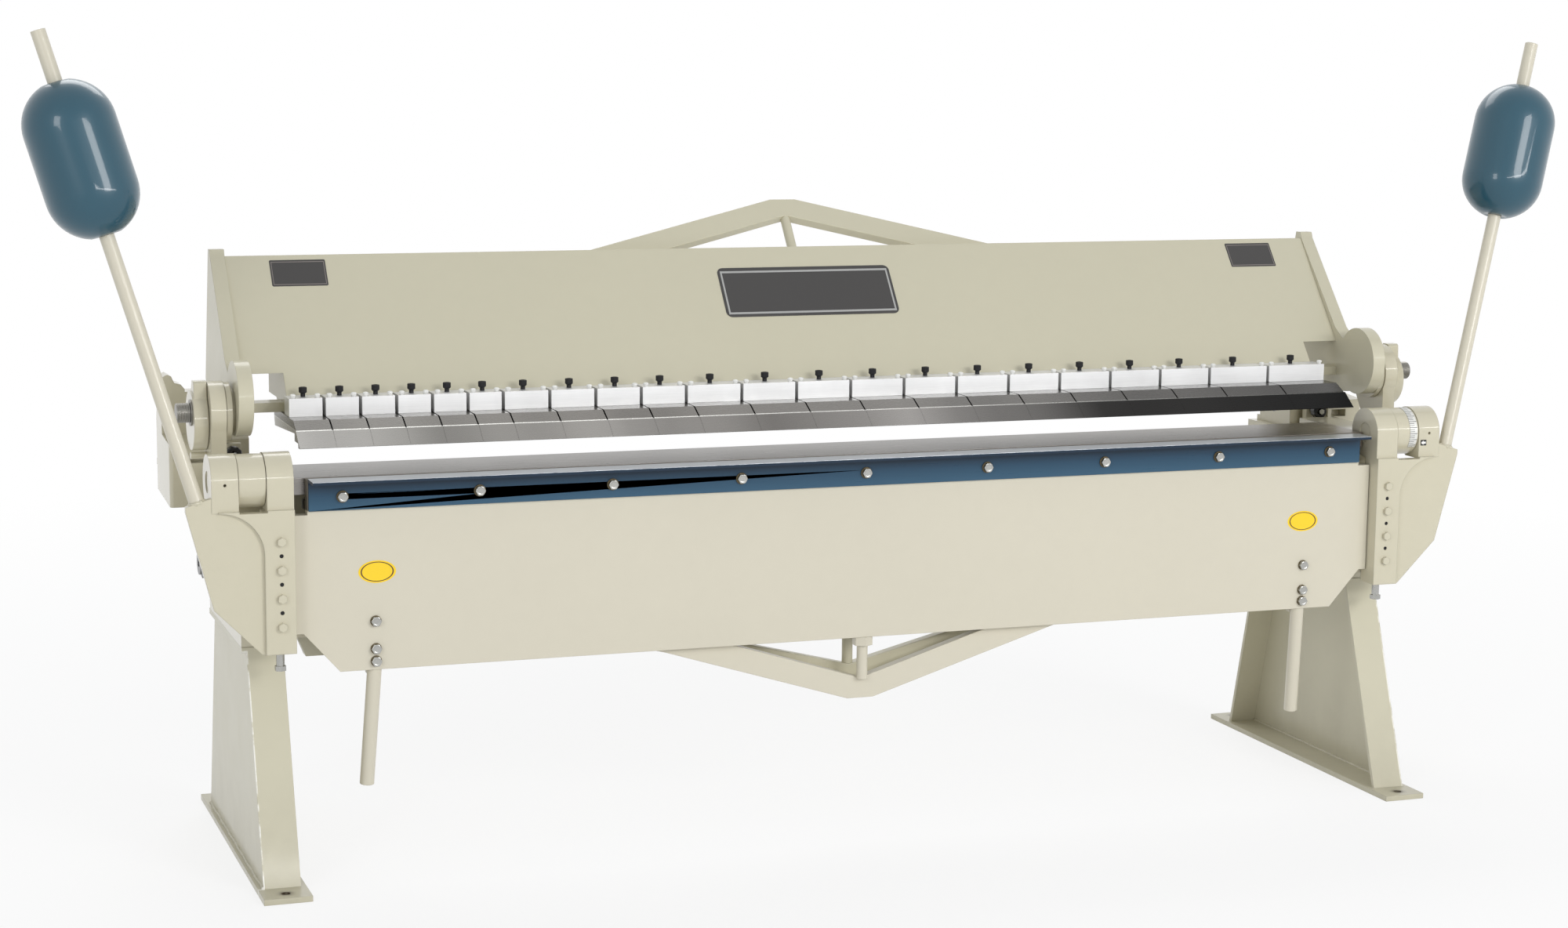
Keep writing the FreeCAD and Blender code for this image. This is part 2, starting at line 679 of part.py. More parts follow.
def dowel_places():
    return [CAST_BOLT_Z + CAST_BOLT_PITCH * (i + 0.5) for i in range(3)]


# Apron end: flange, two bosses round the bed's knuckle, thin outer web and rod socket
def apron_end():
    flange_end = CAST_X + CAST_FLANGE_W
    flange = box(CAST_X, flange_end, CAST_FRONT, CAST_BACK, CAST_BOTTOM, BED_TOP - BOSS_R + 2)
    web_back = CAST_FRONT + 8 + CAST_WEB_T
    web = plate_y([(CAST_X + 20, CAST_BOTTOM), (CAST_TOE_X, CAST_BOTTOM), (CAST_KNEE_X, CAST_KNEE_Z),
                   (CAST_OUTER, CAST_SHOULDER_Z), (CAST_OUTER, CAST_SHOULDER_Z + 11),
                   (OUTER_BOSS_END, CAST_SHOULDER_Z + 27), (CAST_X + 20, CAST_SHOULDER_Z + 4)],
                  CAST_FRONT + 8, web_back)
    gusset = plate_y([(flange_end - 2, BED_TOP - BOSS_R - CAST_FILLET_R),
                      (flange_end - 2, BED_TOP - BOSS_R + 2),
                      (flange_end + CAST_FILLET_R, BED_TOP - BOSS_R + 2),
                      (flange_end + CAST_FILLET_R, BED_TOP - BOSS_R - CAST_FILLET_R)], CAST_FRONT, web_back)
    gusset = gusset.cut(bar_y(CAST_FILLET_R, CAST_FRONT - 1, web_back + 1, flange_end + CAST_FILLET_R,
                              BED_TOP - BOSS_R - CAST_FILLET_R))
    pieces = [flange, web, gusset]
    for x0, x1 in ((CAST_X, INNER_BOSS_END), (OUTER_BOSS_X, OUTER_BOSS_END)):
        pieces.append(bar_x(BOSS_R, x0, x1, AXIS_Y, BED_TOP))
        pieces.append(box(x0, x1, AXIS_Y - BOSS_R, AXIS_Y, BED_TOP - BOSS_R, BED_TOP))
        pieces.append(box(x0, x1, CAST_FRONT + 8, AXIS_Y, BED_TOP - BOSS_R - 2, BED_TOP - BOSS_R + 4))
    socket = Part.makeCylinder(SOCKET_D / 2, ROD_TAIL - 5, ROD_FOOT - ROD_AXIS * ROD_TAIL, ROD_AXIS)
    pieces.append(socket.cut(box(CAST_KNEE_X - 107, CAST_OUTER + 141, CAST_FRONT - 60, CAST_FRONT + 8,
                                 CAST_BOTTOM, BED_TOP + 165)))
    shape = join(pieces)
    round_knuckle = bar_x(KNUCKLE_R + KNUCKLE_GAP, INNER_BOSS_END, OUTER_BOSS_X, AXIS_Y, BED_TOP)
    above_saddle = box(INNER_BOSS_END, OUTER_BOSS_X, CAST_FRONT - 60, AXIS_Y + 80,
                       BED_TOP - KNUCKLE_R - KNUCKLE_GAP, BED_TOP + 80)
    shape = shape.cut(round_knuckle).cut(above_saddle)
    shape = shape.cut(bar_x(PIN_R, CAST_X - 1, OUTER_BOSS_END + 1, AXIS_Y, BED_TOP))
    oil_x = (OUTER_BOSS_X + OUTER_BOSS_END) / 2
    shape = shape.cut(bar_y(OIL_HOLE_R, AXIS_Y - BOSS_R - 1, AXIS_Y - PIN_R, oil_x, BED_TOP))
    shape = shape.cut(Part.makeCylinder(ROD_D / 2, 2 * ROD_TAIL, ROD_FOOT - ROD_AXIS * ROD_SEAT, ROD_AXIS))
    for z in cast_bolt_places():
        shape = shape.cut(stock_y(CAST_BOLT_D, CAST_FRONT - 1, CAST_BACK + 1, CAST_BOLT_X, z))
    for z in dowel_places():
        shape = shape.cut(stock_y(DOWEL_D, CAST_FRONT - 1, CAST_FRONT + 38, CAST_BOLT_X, z))
    return shape.cut(stock_z(ADJUSTER_D, CAST_BOTTOM - 1, CAST_BOTTOM + 48, CAST_BOLT_X, ADJUSTER_Y))


def apron_end_bolts():
    length = APRON_FRONT + APRON_T + PAD_T - CAST_FRONT - 2
    bolts = [front_bolt(CAST_BOLT_X, CAST_FRONT, z, CAST_BOLT_AF, CAST_BOLT_D, length, washer=False)
             for z in cast_bolt_places()]
    return both_ends(Part.makeCompound(bolts))


def apron_dowels():
    dowels = [stock_y(DOWEL_D, CAST_FRONT + 1, CAST_FRONT + 38, CAST_BOLT_X, z) for z in dowel_places()]
    return both_ends(Part.makeCompound(dowels))


def adjusting_screws():
    low = CAST_BOTTOM - ADJUSTER_DROP
    head = hexagon(ADJUSTER_AF, 10.0, V(CAST_BOLT_X, ADJUSTER_Y, low), V(0, 0, 1))
    shank = stock_z(ADJUSTER_D, low + 9, CAST_BOTTOM + 48, CAST_BOLT_X, ADJUSTER_Y)
    return both_ends(join([head, shank]))


def hinge_pins():
    return both_ends(bar_x(PIN_R, CAST_X + 2, OUTER_BOSS_END - 2, AXIS_Y, BED_TOP))


def apron_truss():
    y0 = APRON_FRONT + APRON_T
    outline = truss_outline(APRON_TRUSS_DROP + TRUSS_OVERLAP, APRON_TRUSS_SLOPE,
                            APRON_BOTTOM + TRUSS_OVERLAP, -1)
    return plate_y(outline, y0, y0 + TRUSS_T)


def apron_truss_post():
    depth = TRUSS_BAR * math.sqrt(1 + APRON_TRUSS_SLOPE ** 2)
    low = APRON_BOTTOM - APRON_TRUSS_DROP + depth
    y = APRON_FRONT + APRON_T / 2 + 6
    return post(y, low, APRON_BOTTOM, APRON_BOTTOM - POST_NUT_H, apron_truss())


def handle():
    """A round bar that sweeps back to the floor, with a flat tang on the plate's back."""
    back = APRON_FRONT + APRON_T
    neck = APRON_BOTTOM - TANG_GAP
    high = V(HANDLE_X, HANDLE_Y, neck + 8)
    low = V(HANDLE_X + HANDLE_SPLAY, HANDLE_Y + HANDLE_SWEEP, HANDLE_BOTTOM)
    grip = Part.makeCylinder(HANDLE_D / 2, (high - low).Length, low, high - low)
    half = HANDLE_D / 2
    grip = grip.cut(box(HANDLE_X - 2 * half, HANDLE_X + 2 * half, HANDLE_Y - HANDLE_D, back + HANDLE_D,
                        neck, neck + 60))
    tang = box(HANDLE_X - half, HANDLE_X + half, back, back + TANG_T, neck - 12, HANDLE_TOP)
    tang = tang.makeChamfer(half / 2, [e for e in tang.Edges if abs(e.CenterOfMass.z - HANDLE_TOP) < 0.1
                                       and abs(e.CenterOfMass.y - back - TANG_T / 2) < 0.1])
    shape = join([grip, tang])
    for z in HANDLE_BOLTS:
        shape = shape.cut(stock_y(BOLT_D, back - 1, back + TANG_T + 1, HANDLE_X, z))
    return shape


def handle_bolts():
    length = APRON_T + TANG_T + 8
    bolts = [front_bolt(HANDLE_X, APRON_FRONT, z, BOLT_AF, BOLT_D, length) for z in HANDLE_BOLTS]
    return both_ends(Part.makeCompound(bolts))


def rod():
    foot = ROD_FOOT - ROD_AXIS * ROD_SEAT
    length = (ROD_TOP - foot).Length
    return Part.makeCylinder(ROD_D / 2, length, foot, ROD_AXIS)


def weight():
    """A turned weight with domed ends, bored to slide on the rod."""
    radius = WEIGHT_D / 2
    bore = ROD_D / 2 + ROD_SLACK
    half = WEIGHT_LENGTH / 2 - radius
    dome = []
    last = math.acos(bore / radius)
    for step in range(DOME_STEPS + 1):
        angle = last * step / DOME_STEPS
        dome.append((radius * math.cos(angle), half + radius * math.sin(angle)))
    profile = [(r, -h) for r, h in reversed(dome)] + dome
    wire = Part.makePolygon([V(r, 0, h) for r, h in profile + profile[:1]])
    body = Part.Face(wire).revolve(V(0, 0, 0), V(0, 0, 1), 360)
    body.Placement = FreeCAD.Placement(ROD_FOOT + ROD_AXIS * WEIGHT_REACH,
                                       FreeCAD.Rotation(V(0, 0, 1), ROD_AXIS))
    return body


# Top leaf: a leaning plate, a sill and a back plate, with the finger bar under them
def lean_y(z):
    """Where the front of the leaning plate is at height z."""
    return LEAF_TOP_Y - LEAF_LEAN * (LEAF_TOP_Z - z)


def leaf_normal():
    length = math.sqrt(1 + LEAF_LEAN ** 2)
    return V(0, 1 / length, -LEAF_LEAN / length)


def leaf_plate():
    back = leaf_normal() * LEAF_T
    step = LEAF_T * math.sqrt(1 + LEAF_LEAN ** 2)
    section = [(lean_y(LEAF_SILL), LEAF_SILL), (LEAF_TOP_Y, LEAF_TOP_Z),
               (LEAF_TOP_Y + back.y, LEAF_TOP_Z + back.z), (lean_y(LEAF_SILL) + step, LEAF_SILL)]
    plate = plate_x(section, -LEAF_HALF, LEAF_HALF)
    for sign in (-1, 1):
        near, far = sorted((sign * NOTCH_X, sign * (LEAF_HALF + 1)))
        plate = plate.cut(box(near, far, -200, 200, LEAF_SILL - 1, NOTCH_Z))
    sill = box(-NOTCH_X, NOTCH_X, BAR_FRONT, BACK_Y + BACK_T, LEAF_SILL - SILL_T, LEAF_SILL)
    back_top = LEAF_TOP_Z - (LEAF_TOP_Y + step - BACK_Y) / LEAF_LEAN + 6
    rear = box(-NOTCH_X, NOTCH_X, BACK_Y, BACK_Y + BACK_T, LEAF_SILL, back_top)
    pieces = [plate, sill, rear]
    inside = [(lean_y(LEAF_SILL) + step - 3, LEAF_SILL - 1), (BACK_Y + 1, LEAF_SILL - 1),
              (BACK_Y + 1, back_top - 4)]
    for x in leaf_rib_places():
        pieces.append(plate_x(inside, x, x + RIB_T))
    return join(pieces)


def leaf_rib_places():
    """Ribs that tie the leaning plate, the sill and the back plate, one at each end."""
    span = 2 * NOTCH_X - RIB_T
    return [-NOTCH_X + span * i / (RIB_COUNT - 1) for i in range(RIB_COUNT)]


def finger_bar():
    bar = box(-LEAF_HALF, LEAF_HALF, TONGUE_FRONT, TONGUE_BACK, FINGER_TOP, BAR_TOP)
    wide = box(-NOTCH_X, NOTCH_X, BAR_FRONT, FINGER_TAIL + 4, FINGER_TOP, BAR_TOP)
    return join([bar, wide])


def leaf_end():
    """End plate with the big disc at its front corner, the hub, the journal and the stud."""
    top = LEAF_TOP_Z + END_PLATE_RISE
    foot_z = DISC_Z + DISC_R - 8
    outline = [(lean_y(LEAF_TOP_Z) - PROUD_TOP, LEAF_TOP_Z), (lean_y(LEAF_TOP_Z) - PROUD_TOP + 6, top),
               (END_PLATE_TOP_BACK, top), (END_PLATE_BACK, DISC_Z), (PIVOT_Y + EAR_R, PIVOT_Z + EAR_R),
               (PIVOT_Y + EAR_R, PIVOT_Z), (PIVOT_Y - EAR_R, PIVOT_Z),
               (PIVOT_Y - EAR_R, PIVOT_Z + EAR_R + 6),
               (DISC_Y + 172, DISC_Z - 92), (DISC_Y + 20, DISC_Z - 74), (DISC_Y - 10, DISC_Z),
               (lean_y(foot_z) - PROUD_LOW, foot_z)]
    pieces = [plate_x(outline, LEAF_HALF, LEAF_END_OUTER),
              bar_x(EAR_R, LEAF_HALF, LEAF_END_OUTER, PIVOT_Y, PIVOT_Z),
              bar_x(DISC_R, LEAF_HALF, LEAF_END_OUTER, DISC_Y, DISC_Z),
              bar_x(HUB_R, LEAF_END_OUTER, LEAF_END_OUTER + HUB_LENGTH, TRUNNION_Y, TRUNNION_Z)]
    shape = join(pieces)
    shape = shape.cut(bar_x(PIVOT_R + RUNNING_FIT, LEAF_HALF - 1, LEAF_END_OUTER + 1, PIVOT_Y, PIVOT_Z))
    return shape.cut(bar_x(JOURNAL_R, LEAF_HALF + BLIND_WALL, LEAF_END_OUTER + HUB_LENGTH + 1,
                           TRUNNION_Y, TRUNNION_Z))


def trunnion_studs():
    shoulder = CAM_DISC_X + CAM_DISC_T
    journal = bar_x(JOURNAL_R, LEAF_HALF + BLIND_WALL, shoulder, TRUNNION_Y, TRUNNION_Z)
    stud = bar_x(STUD_R, shoulder, STUD_END, TRUNNION_Y, TRUNNION_Z)
    return both_ends(join([journal, stud]))


def trunnion_ring(bore, radius, x0, x1):
    ring = bar_x(radius, x0, x1, TRUNNION_Y, TRUNNION_Z)
    return both_ends(ring.cut(bar_x(bore + RING_GAP, x0 - 1, x1 + 1, TRUNNION_Y, TRUNNION_Z)))


def hub_rings():
    """Dark spacer rings round the hubs, between the leaf's end discs and the links."""
    end = LINK_X - PLATE_GAP
    return trunnion_ring(HUB_R, HUB_RING_R, end - HUB_RING_T, end)


def stud_washers():
    start = CAM_DISC_X + CAM_DISC_T + RING_GAP
    return trunnion_ring(STUD_R, STUD_WASHER_R, start, start + STUD_WASHER_T)


def leaf_truss():
    """Drawn flat behind the leaning plate, then tilted into its plane."""
    base_offset = LEAF_T + 0.2
    outline = truss_outline(LEAF_TRUSS_RISE + TRUSS_OVERLAP, TRUSS_SLOPE, -TRUSS_OVERLAP, 1)
    bar = plate_y(outline, base_offset, base_offset + TRUSS_T)
    return lean(bar)


def lean(shape):
    """Tilt a shape drawn upright at the origin onto the leaf's top edge."""
    angle = -math.degrees(math.atan(LEAF_LEAN))
    shape.rotate(V(0, 0, 0), V(1, 0, 0), angle)
    shape.translate(V(0, LEAF_TOP_Y, LEAF_TOP_Z))
    return shape


def leaf_truss_post():
    depth = TRUSS_BAR * math.sqrt(1 + TRUSS_SLOPE ** 2)
    y = LEAF_T + TRUSS_T / 2
    rod = bar_z(POST_D / 2 - 1, -TRUSS_OVERLAP, LEAF_TRUSS_RISE - depth, 0, y)
    nut = hexagon(POST_NUT_AF - 4, POST_NUT_H, V(0, y + 8, -TRUSS_OVERLAP - 0.2), V(0, 0, 1))
    return lean(join([rod, nut])).cut(leaf_truss())


# Links, eccentric discs and clamp cranks
def slot_centre():
    return CRANK_Z + CRANK_THROW * math.sin(math.radians(CRANK_HALF_ANGLE))


def link():
    foot = slot_centre() - CRANK_PIN_R - CRANK_SLACK - LINK_WALL
    head = bar_x(LINK_HEAD_R, LINK_X, LINK_END, TRUNNION_Y, TRUNNION_Z)
    front = TRUNNION_Y - LINK_HALF
    rear = TRUNNION_Y + LINK_HALF
    shank = plate_x([(front, foot), (front, TRUNNION_Z), (TRUNNION_Y + LINK_HEAD_R, TRUNNION_Z),
                     (TRUNNION_Y + LINK_HEAD_R, WAIST_TOP_Z), (TRUNNION_Y + WAIST_HALF, WAIST_Z),
                     (rear, WAIST_FOOT_Z), (rear, foot)], LINK_X, LINK_END)
    yoke = box(LINK_X, LINK_END, TRUNNION_Y - LINK_FOOT_HALF, TRUNNION_Y + LINK_FOOT_HALF, foot,
               slot_centre() + 50)
    yoke = yoke.makeChamfer(12.0, [e for e in yoke.Edges if abs(e.CenterOfMass.z - foot) < 0.1
                                   and abs(e.CenterOfMass.x - (LINK_X + LINK_END) / 2) < 0.1])
    shape = join([head, shank, yoke])
    shape = shape.cut(bar_x(JOURNAL_R + RUNNING_FIT, LINK_X - 1, LINK_END + 1, TRUNNION_Y, TRUNNION_Z))
    half = CRANK_PIN_R + SLOT_PLAY
    height = CRANK_PIN_R + CRANK_SLACK
    slot = box(LINK_X - 1, LINK_END + 1, TRUNNION_Y - half, TRUNNION_Y + half,
               slot_centre() - height, slot_centre() + height)
    shape = shape.cut(slot)
    return shape.cut(lock_pin_stock(LINK_END - 20, LINK_END + 1))


def eccentric_disc():
    """The lugged disc that turns off-centre on the stud to set the clamping pressure."""
    x1 = CAM_DISC_X + CAM_DISC_T
    disc = bar_x(CAM_DISC_R, CAM_DISC_X, x1, CAM_DISC_Y, CAM_DISC_Z)
    top = CAM_DISC_Z + CAM_DISC_R
    lug = plate_x([(TRUNNION_Y - 20, top - 18), (TRUNNION_Y - 18, top + 18), (TRUNNION_Y - 13, top + 22),
                   (TRUNNION_Y + 8, top + 22), (TRUNNION_Y + 22, top - 6)], CAM_DISC_X, x1 - 3)
    return join([disc, lug]).cut(bar_x(JOURNAL_R + RUNNING_FIT, LINK_X - 1, x1 + 1, TRUNNION_Y, TRUNNION_Z))


def lock_pin():
    return lock_pin_stock(LINK_END - 20, LINK_END + 33)


def lock_pin_stock(x0, x1):
    return prism(HEAD_SIDES, LOCK_PIN_D, x1 - x0, V(x0, TRUNNION_Y + 8, LOCK_PIN_Z), V(1, 0, 0))


def crank():
    """Clamp shaft: journal in the bed end, pin in the link's slot, hub with a square socket for a bar."""
    angle = math.radians(CRANK_HALF_ANGLE)
    pin_y = CRANK_Y - CRANK_THROW * math.cos(angle)
    pin_z = CRANK_Z + CRANK_THROW * math.sin(angle)
    inner = END_OUTER + PLATE_GAP
    outer = LINK_END + PLATE_GAP
    pieces = [bar_x(CRANK_JOURNAL_R, crank_tail(), inner + 1, CRANK_Y, CRANK_Z),
              crank_cheek(inner, LINK_X - PLATE_GAP, pin_y, pin_z),
              bar_x(CRANK_PIN_R, LINK_X - PLATE_GAP - 1, outer + 1, pin_y, pin_z),
              crank_cheek(outer, outer + CRANK_CHEEK_T, pin_y, pin_z),
              bar_x(CRANK_HUB_R, outer + CRANK_CHEEK_T - 1, outer + CRANK_CHEEK_T + CRANK_HUB_L,
                     CRANK_Y, CRANK_Z)]
    end = outer + CRANK_CHEEK_T + CRANK_HUB_L
    half = CRANK_DRIVE / 2
    socket = box(end - CRANK_DRIVE_DEPTH, end + 1,
                 CRANK_Y - half, CRANK_Y + half, CRANK_Z - half, CRANK_Z + half)
    return join(pieces).cut(socket)


def crank_cheek(x0, x1, pin_y, pin_z):
    """A web from the shaft to the pin with bevelled ends."""
    along = V(0, pin_y - CRANK_Y, pin_z - CRANK_Z).normalize() * CRANK_CHEEK_R
    side = V(0, -along.z, along.y)
    shaft = V(0, CRANK_Y, CRANK_Z)
    pin = V(0, pin_y, pin_z)
    corners = [shaft - along + side * 0.5, shaft - along * 0.5 + side, pin + along * 0.5 + side,
               pin + along + side * 0.5, pin + along - side * 0.5, pin + along * 0.5 - side,
               shaft - along * 0.5 - side, shaft - along - side * 0.5]
    return plate_x([(corner.y, corner.z) for corner in corners], x0, x1)


# Setback slides: they carry the leaf's rear pivots along the bed ends
def slide():
    foot = box(SLIDE_INNER, BLOCK_OUTER, SLIDE_FRONT, SLIDE_BACK, SLIDEWAY_Z, SLIDEWAY_Z + SLIDE_FOOT_T)
    tongue = box(tongue_x() - TONGUE_W / 2, tongue_x() + TONGUE_W / 2, SLIDE_FRONT, SLIDE_BACK,
                 SLIDEWAY_Z - TONGUE_H, SLIDEWAY_Z + 1)
    wall = box(SLIDE_INNER, BLOCK_X + 10, SLIDE_FRONT, SLIDE_FRONT + SLIDE_WALL_T,
               SLIDEWAY_Z, SETBACK_Z + 22)
    cheek = plate_x([(SLIDE_FRONT, SLIDEWAY_Z), (SLIDE_BACK - 14, SLIDEWAY_Z),
                     (SLIDE_BACK - 14, PIVOT_Z + 35),
                     (PIVOT_Y + 25, CHEEK_TOP), (PIVOT_Y - 25, CHEEK_TOP),
                     (SLIDE_FRONT, PIVOT_Z + 21)],
                    SLIDE_INNER, LEAF_HALF - CHEEK_GAP)
    rear = SLIDE_BACK - 8
    block = plate_x([(BLOCK_FACE_Y, BLOCK_BOTTOM), (rear, BLOCK_BOTTOM + 12), (rear, PIVOT_Z + 55),
                     (HORN_BACK, HORN_FOOT), (HORN_FRONT, HORN_FOOT), (HORN_FRONT, PIVOT_Z + 27),
                     (BLOCK_FACE_Y, PIVOT_Z + 19)], BLOCK_X, BLOCK_OUTER)
    corner = [e for e in block.Edges if abs(e.CenterOfMass.y - BLOCK_FACE_Y) < 0.1
              and abs(e.CenterOfMass.x - BLOCK_OUTER) < 0.1]
    block = block.makeFillet(BLOCK_ROUND, corner)
    block = block.cut(box(POCKET_X, POCKET_X + POCKET_W, BLOCK_FACE_Y - 1, BLOCK_FACE_Y + POCKET_DEPTH,
                          POCKET_Z, POCKET_Z + POCKET_H))
    horn = plate_y([(BLOCK_OUTER - 50, HORN_FOOT - 12), (BLOCK_OUTER, HORN_FOOT - 12),
                    (BLOCK_OUTER, HORN_FOOT + 24), (BLOCK_OUTER - 5, HORN_FOOT + 34),
                    (BLOCK_OUTER - 14, HORN_FOOT + 38), (BLOCK_OUTER - 22, HORN_FOOT + 34),
                    (BLOCK_OUTER - 28, HORN_FOOT + 20), (BLOCK_OUTER - 42, HORN_FOOT + 16),
                    (BLOCK_OUTER - 50, HORN_FOOT + 6)], HORN_FRONT, HORN_BACK)
    link_pad = box(LEAF_END_OUTER + CHEEK_GAP, BLOCK_X + 1, PIVOT_Y - 30, PIVOT_Y + 30,
                   SLIDEWAY_Z, PIVOT_Z + 30)
    shape = join([foot, tongue, wall, cheek, block, horn, link_pad])
    shape = shape.cut(box(END_X, END_OUTER + 6, SLIDE_FRONT - 1, SLIDE_BACK + 1, BLOCK_BOTTOM - 1,
                          SLIDEWAY_Z - TONGUE_H - 1))
    shape = shape.cut(bar_x(PIVOT_R, SLIDE_INNER - 1, BLOCK_X + 40, PIVOT_Y, PIVOT_Z))
    return shape.cut(bar_y(SETBACK_D / 2 + RUNNING_FIT, SLIDE_FRONT - 1, SLIDE_FRONT + SLIDE_WALL_T + 1,
                           SETBACK_X, SETBACK_Z))


def pivot_pins():
    return both_ends(bar_x(PIVOT_R, SLIDE_INNER, BLOCK_X + 40, PIVOT_Y, PIVOT_Z))


def setback_screw():
    shank = bar_y(SETBACK_D / 2, KNOB_Y + KNOB_T, SLIDE_FRONT + SLIDE_WALL_T, SETBACK_X, SETBACK_Z)
    seat = hexagon(KNOB_SEAT_AF, KNOB_T + 6, V(SETBACK_X, KNOB_Y - 6, SETBACK_Z), V(0, 1, 0))
    collar = prism(HEAD_SIDES, SETBACK_D + 8, 8.0, V(SETBACK_X, lug_front() - 9, SETBACK_Z), V(0, 1, 0))
    return join([shank, seat, collar])


def setback_knob():
    knob = prism(HEAD_SIDES, KNOB_D, KNOB_T, V(SETBACK_X, KNOB_Y, SETBACK_Z), V(0, 1, 0))
    return knob.cut(hexagon(KNOB_SEAT_AF, KNOB_T + 2, V(SETBACK_X, KNOB_Y - 1, SETBACK_Z), V(0, 1, 0)))


def build():
    """Every node of the machine, by name."""
    nodes = {
        'leg_right': leg(), 'bed_plate': bed_plate(), 'bed_web': bed_web(), 'bed_truss': bed_truss(),
        'bed_truss_post': bed_truss_post(), 'bed_end_right': bed_end(), 'bed_end_bolts': bed_end_bolts(),
        'degree_scale': degree_scale(), 'apron_plate': apron_plate(), 'apron_edge_bar': apron_edge_bar(),
        'apron_angle': apron_angle(), 'angle_bolts': angle_bolts(), 'apron_end_right': apron_end(),
        'apron_end_bolts': apron_end_bolts(), 'apron_dowels': apron_dowels(),
        'adjusting_screws': adjusting_screws(),
        'hinge_pins': hinge_pins(), 'apron_truss': apron_truss(), 'apron_truss_post': apron_truss_post(),
        'handle_right': handle(), 'handle_bolts': handle_bolts(), 'rod_right': rod(),
        'weight_right': weight(),
        'leaf_plate': leaf_plate(), 'finger_bar': finger_bar(), 'leaf_end_right': leaf_end(),
        'trunnion_studs': trunnion_studs(), 'stud_washers': stud_washers(), 'hub_rings': hub_rings(),
        'leaf_truss': leaf_truss(), 'leaf_truss_post': leaf_truss_post(),
        'link_right': link(), 'eccentric_disc_right': eccentric_disc(), 'lock_pin_right': lock_pin(),
        'crank_right': crank(), 'slide_right': slide(), 'pivot_pins': pivot_pins(),
        'setback_screw_right': setback_screw(), 'setback_knob_right': setback_knob(),
    }
    for name in [n for n in nodes if n.endswith('_right')]:
        nodes[name.replace('_right', '_left')] = mirrored(nodes[name])
    places = finger_places()
    first = 0
    for count, inches in FINGER_SETS:
        group = places[first:first + count]
        nodes['fingers_%d_inch' % inches] = Part.makeCompound([finger(*place) for place in group])
        first += count
    nodes['finger_clamps'] = Part.makeCompound([clamp_block(*place) for place in places])
    nodes['clamp_screws'] = Part.makeCompound([clamp_screw(*place) for place in places])
    nodes['clamp_buttons'] = Part.makeCompound([b for place in places for b in clamp_buttons(*place)])
    return nodes


os.makedirs('parts', exist_ok=True)
for node, shape in build().items():
    shape.exportStep('parts/%s.step' % node)
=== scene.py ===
import math

import bmesh
import bpy
import numpy as np
from mathutils import Matrix, Vector


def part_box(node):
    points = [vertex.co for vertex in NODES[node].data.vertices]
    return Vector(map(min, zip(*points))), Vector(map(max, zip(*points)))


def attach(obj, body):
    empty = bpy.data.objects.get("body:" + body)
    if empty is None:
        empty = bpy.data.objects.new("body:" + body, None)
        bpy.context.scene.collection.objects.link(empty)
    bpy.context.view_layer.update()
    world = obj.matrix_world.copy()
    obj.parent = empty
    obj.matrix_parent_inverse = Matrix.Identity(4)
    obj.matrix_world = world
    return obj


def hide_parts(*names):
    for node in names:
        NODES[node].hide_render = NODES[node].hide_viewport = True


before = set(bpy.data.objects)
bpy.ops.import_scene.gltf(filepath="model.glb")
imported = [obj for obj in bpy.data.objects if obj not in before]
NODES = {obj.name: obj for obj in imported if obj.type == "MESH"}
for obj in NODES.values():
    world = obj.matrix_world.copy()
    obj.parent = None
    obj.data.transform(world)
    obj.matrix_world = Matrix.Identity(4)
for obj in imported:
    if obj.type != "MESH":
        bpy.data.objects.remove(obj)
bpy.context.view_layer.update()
V = Vector
X, Y, Z = V((1, 0, 0)), V((0, 1, 0)), V((0, 0, 1))
FULL_TURN = 2 * math.pi
SIDES = ((-1, "left"), (1, "right"))

# Places on the machine in metres, those of the right side where there are two
HINGE_Y, HINGE_Z = -0.255, 0.835  # bend line, on which the apron turns
TRUNNION_Y, TRUNNION_Z = -0.098, 0.955  # axis of the leaf's studs
ROD_FOOT, ROD_TOP = V((1.4357, -0.293, 0.803)), V((1.7036, -0.168, 1.725))
ANCHOR_X, ANCHOR_Y = 1.287, 0.39  # anchor hole of a leg
LEDGE_Z = 0.923  # ledge between the nose and the top of the fingers
POINTER_X, POINTER_Y, POINTER_Z = 1.366, -0.3111, 0.8135  # plate beside the degree band
LEAF_UP = V((0, 0.797, 1)).normalized()  # uphill along the leaning plate of the leaf


# Camera, solved on the photograph's frame of 2000 x 1184 pixels
PHOTO_WIDTH, FOCAL_PIXELS, SENSOR_WIDTH = 2000, 3652.35, 36
CAMERA_PLACE = (-2.2466, -5.9606, 1.7397)
YAW, PITCH, ROLL = 0.347208, 0.150377, 0.0101652


def add_object(name, data):
    made = bpy.data.objects.new(name, data)
    bpy.context.scene.collection.objects.link(made)
    return made


def add_camera():
    ahead = V((math.sin(YAW) * math.cos(PITCH), math.cos(YAW) * math.cos(PITCH), -math.sin(PITCH)))
    level = V((math.cos(YAW), -math.sin(YAW), 0))
    upright = level.cross(ahead)
    right = math.cos(ROLL) * level + math.sin(ROLL) * upright
    up = -math.sin(ROLL) * level + math.cos(ROLL) * upright
    data = bpy.data.cameras.new("camera")
    data.sensor_width = SENSOR_WIDTH
    data.lens = SENSOR_WIDTH * FOCAL_PIXELS / PHOTO_WIDTH
    data.clip_end = 200
    camera = add_object("camera", data)
    turn = Matrix((right, up, -ahead)).transposed()
    camera.matrix_world = Matrix.Translation(CAMERA_PLACE) @ turn.to_4x4()
    bpy.context.scene.camera = camera


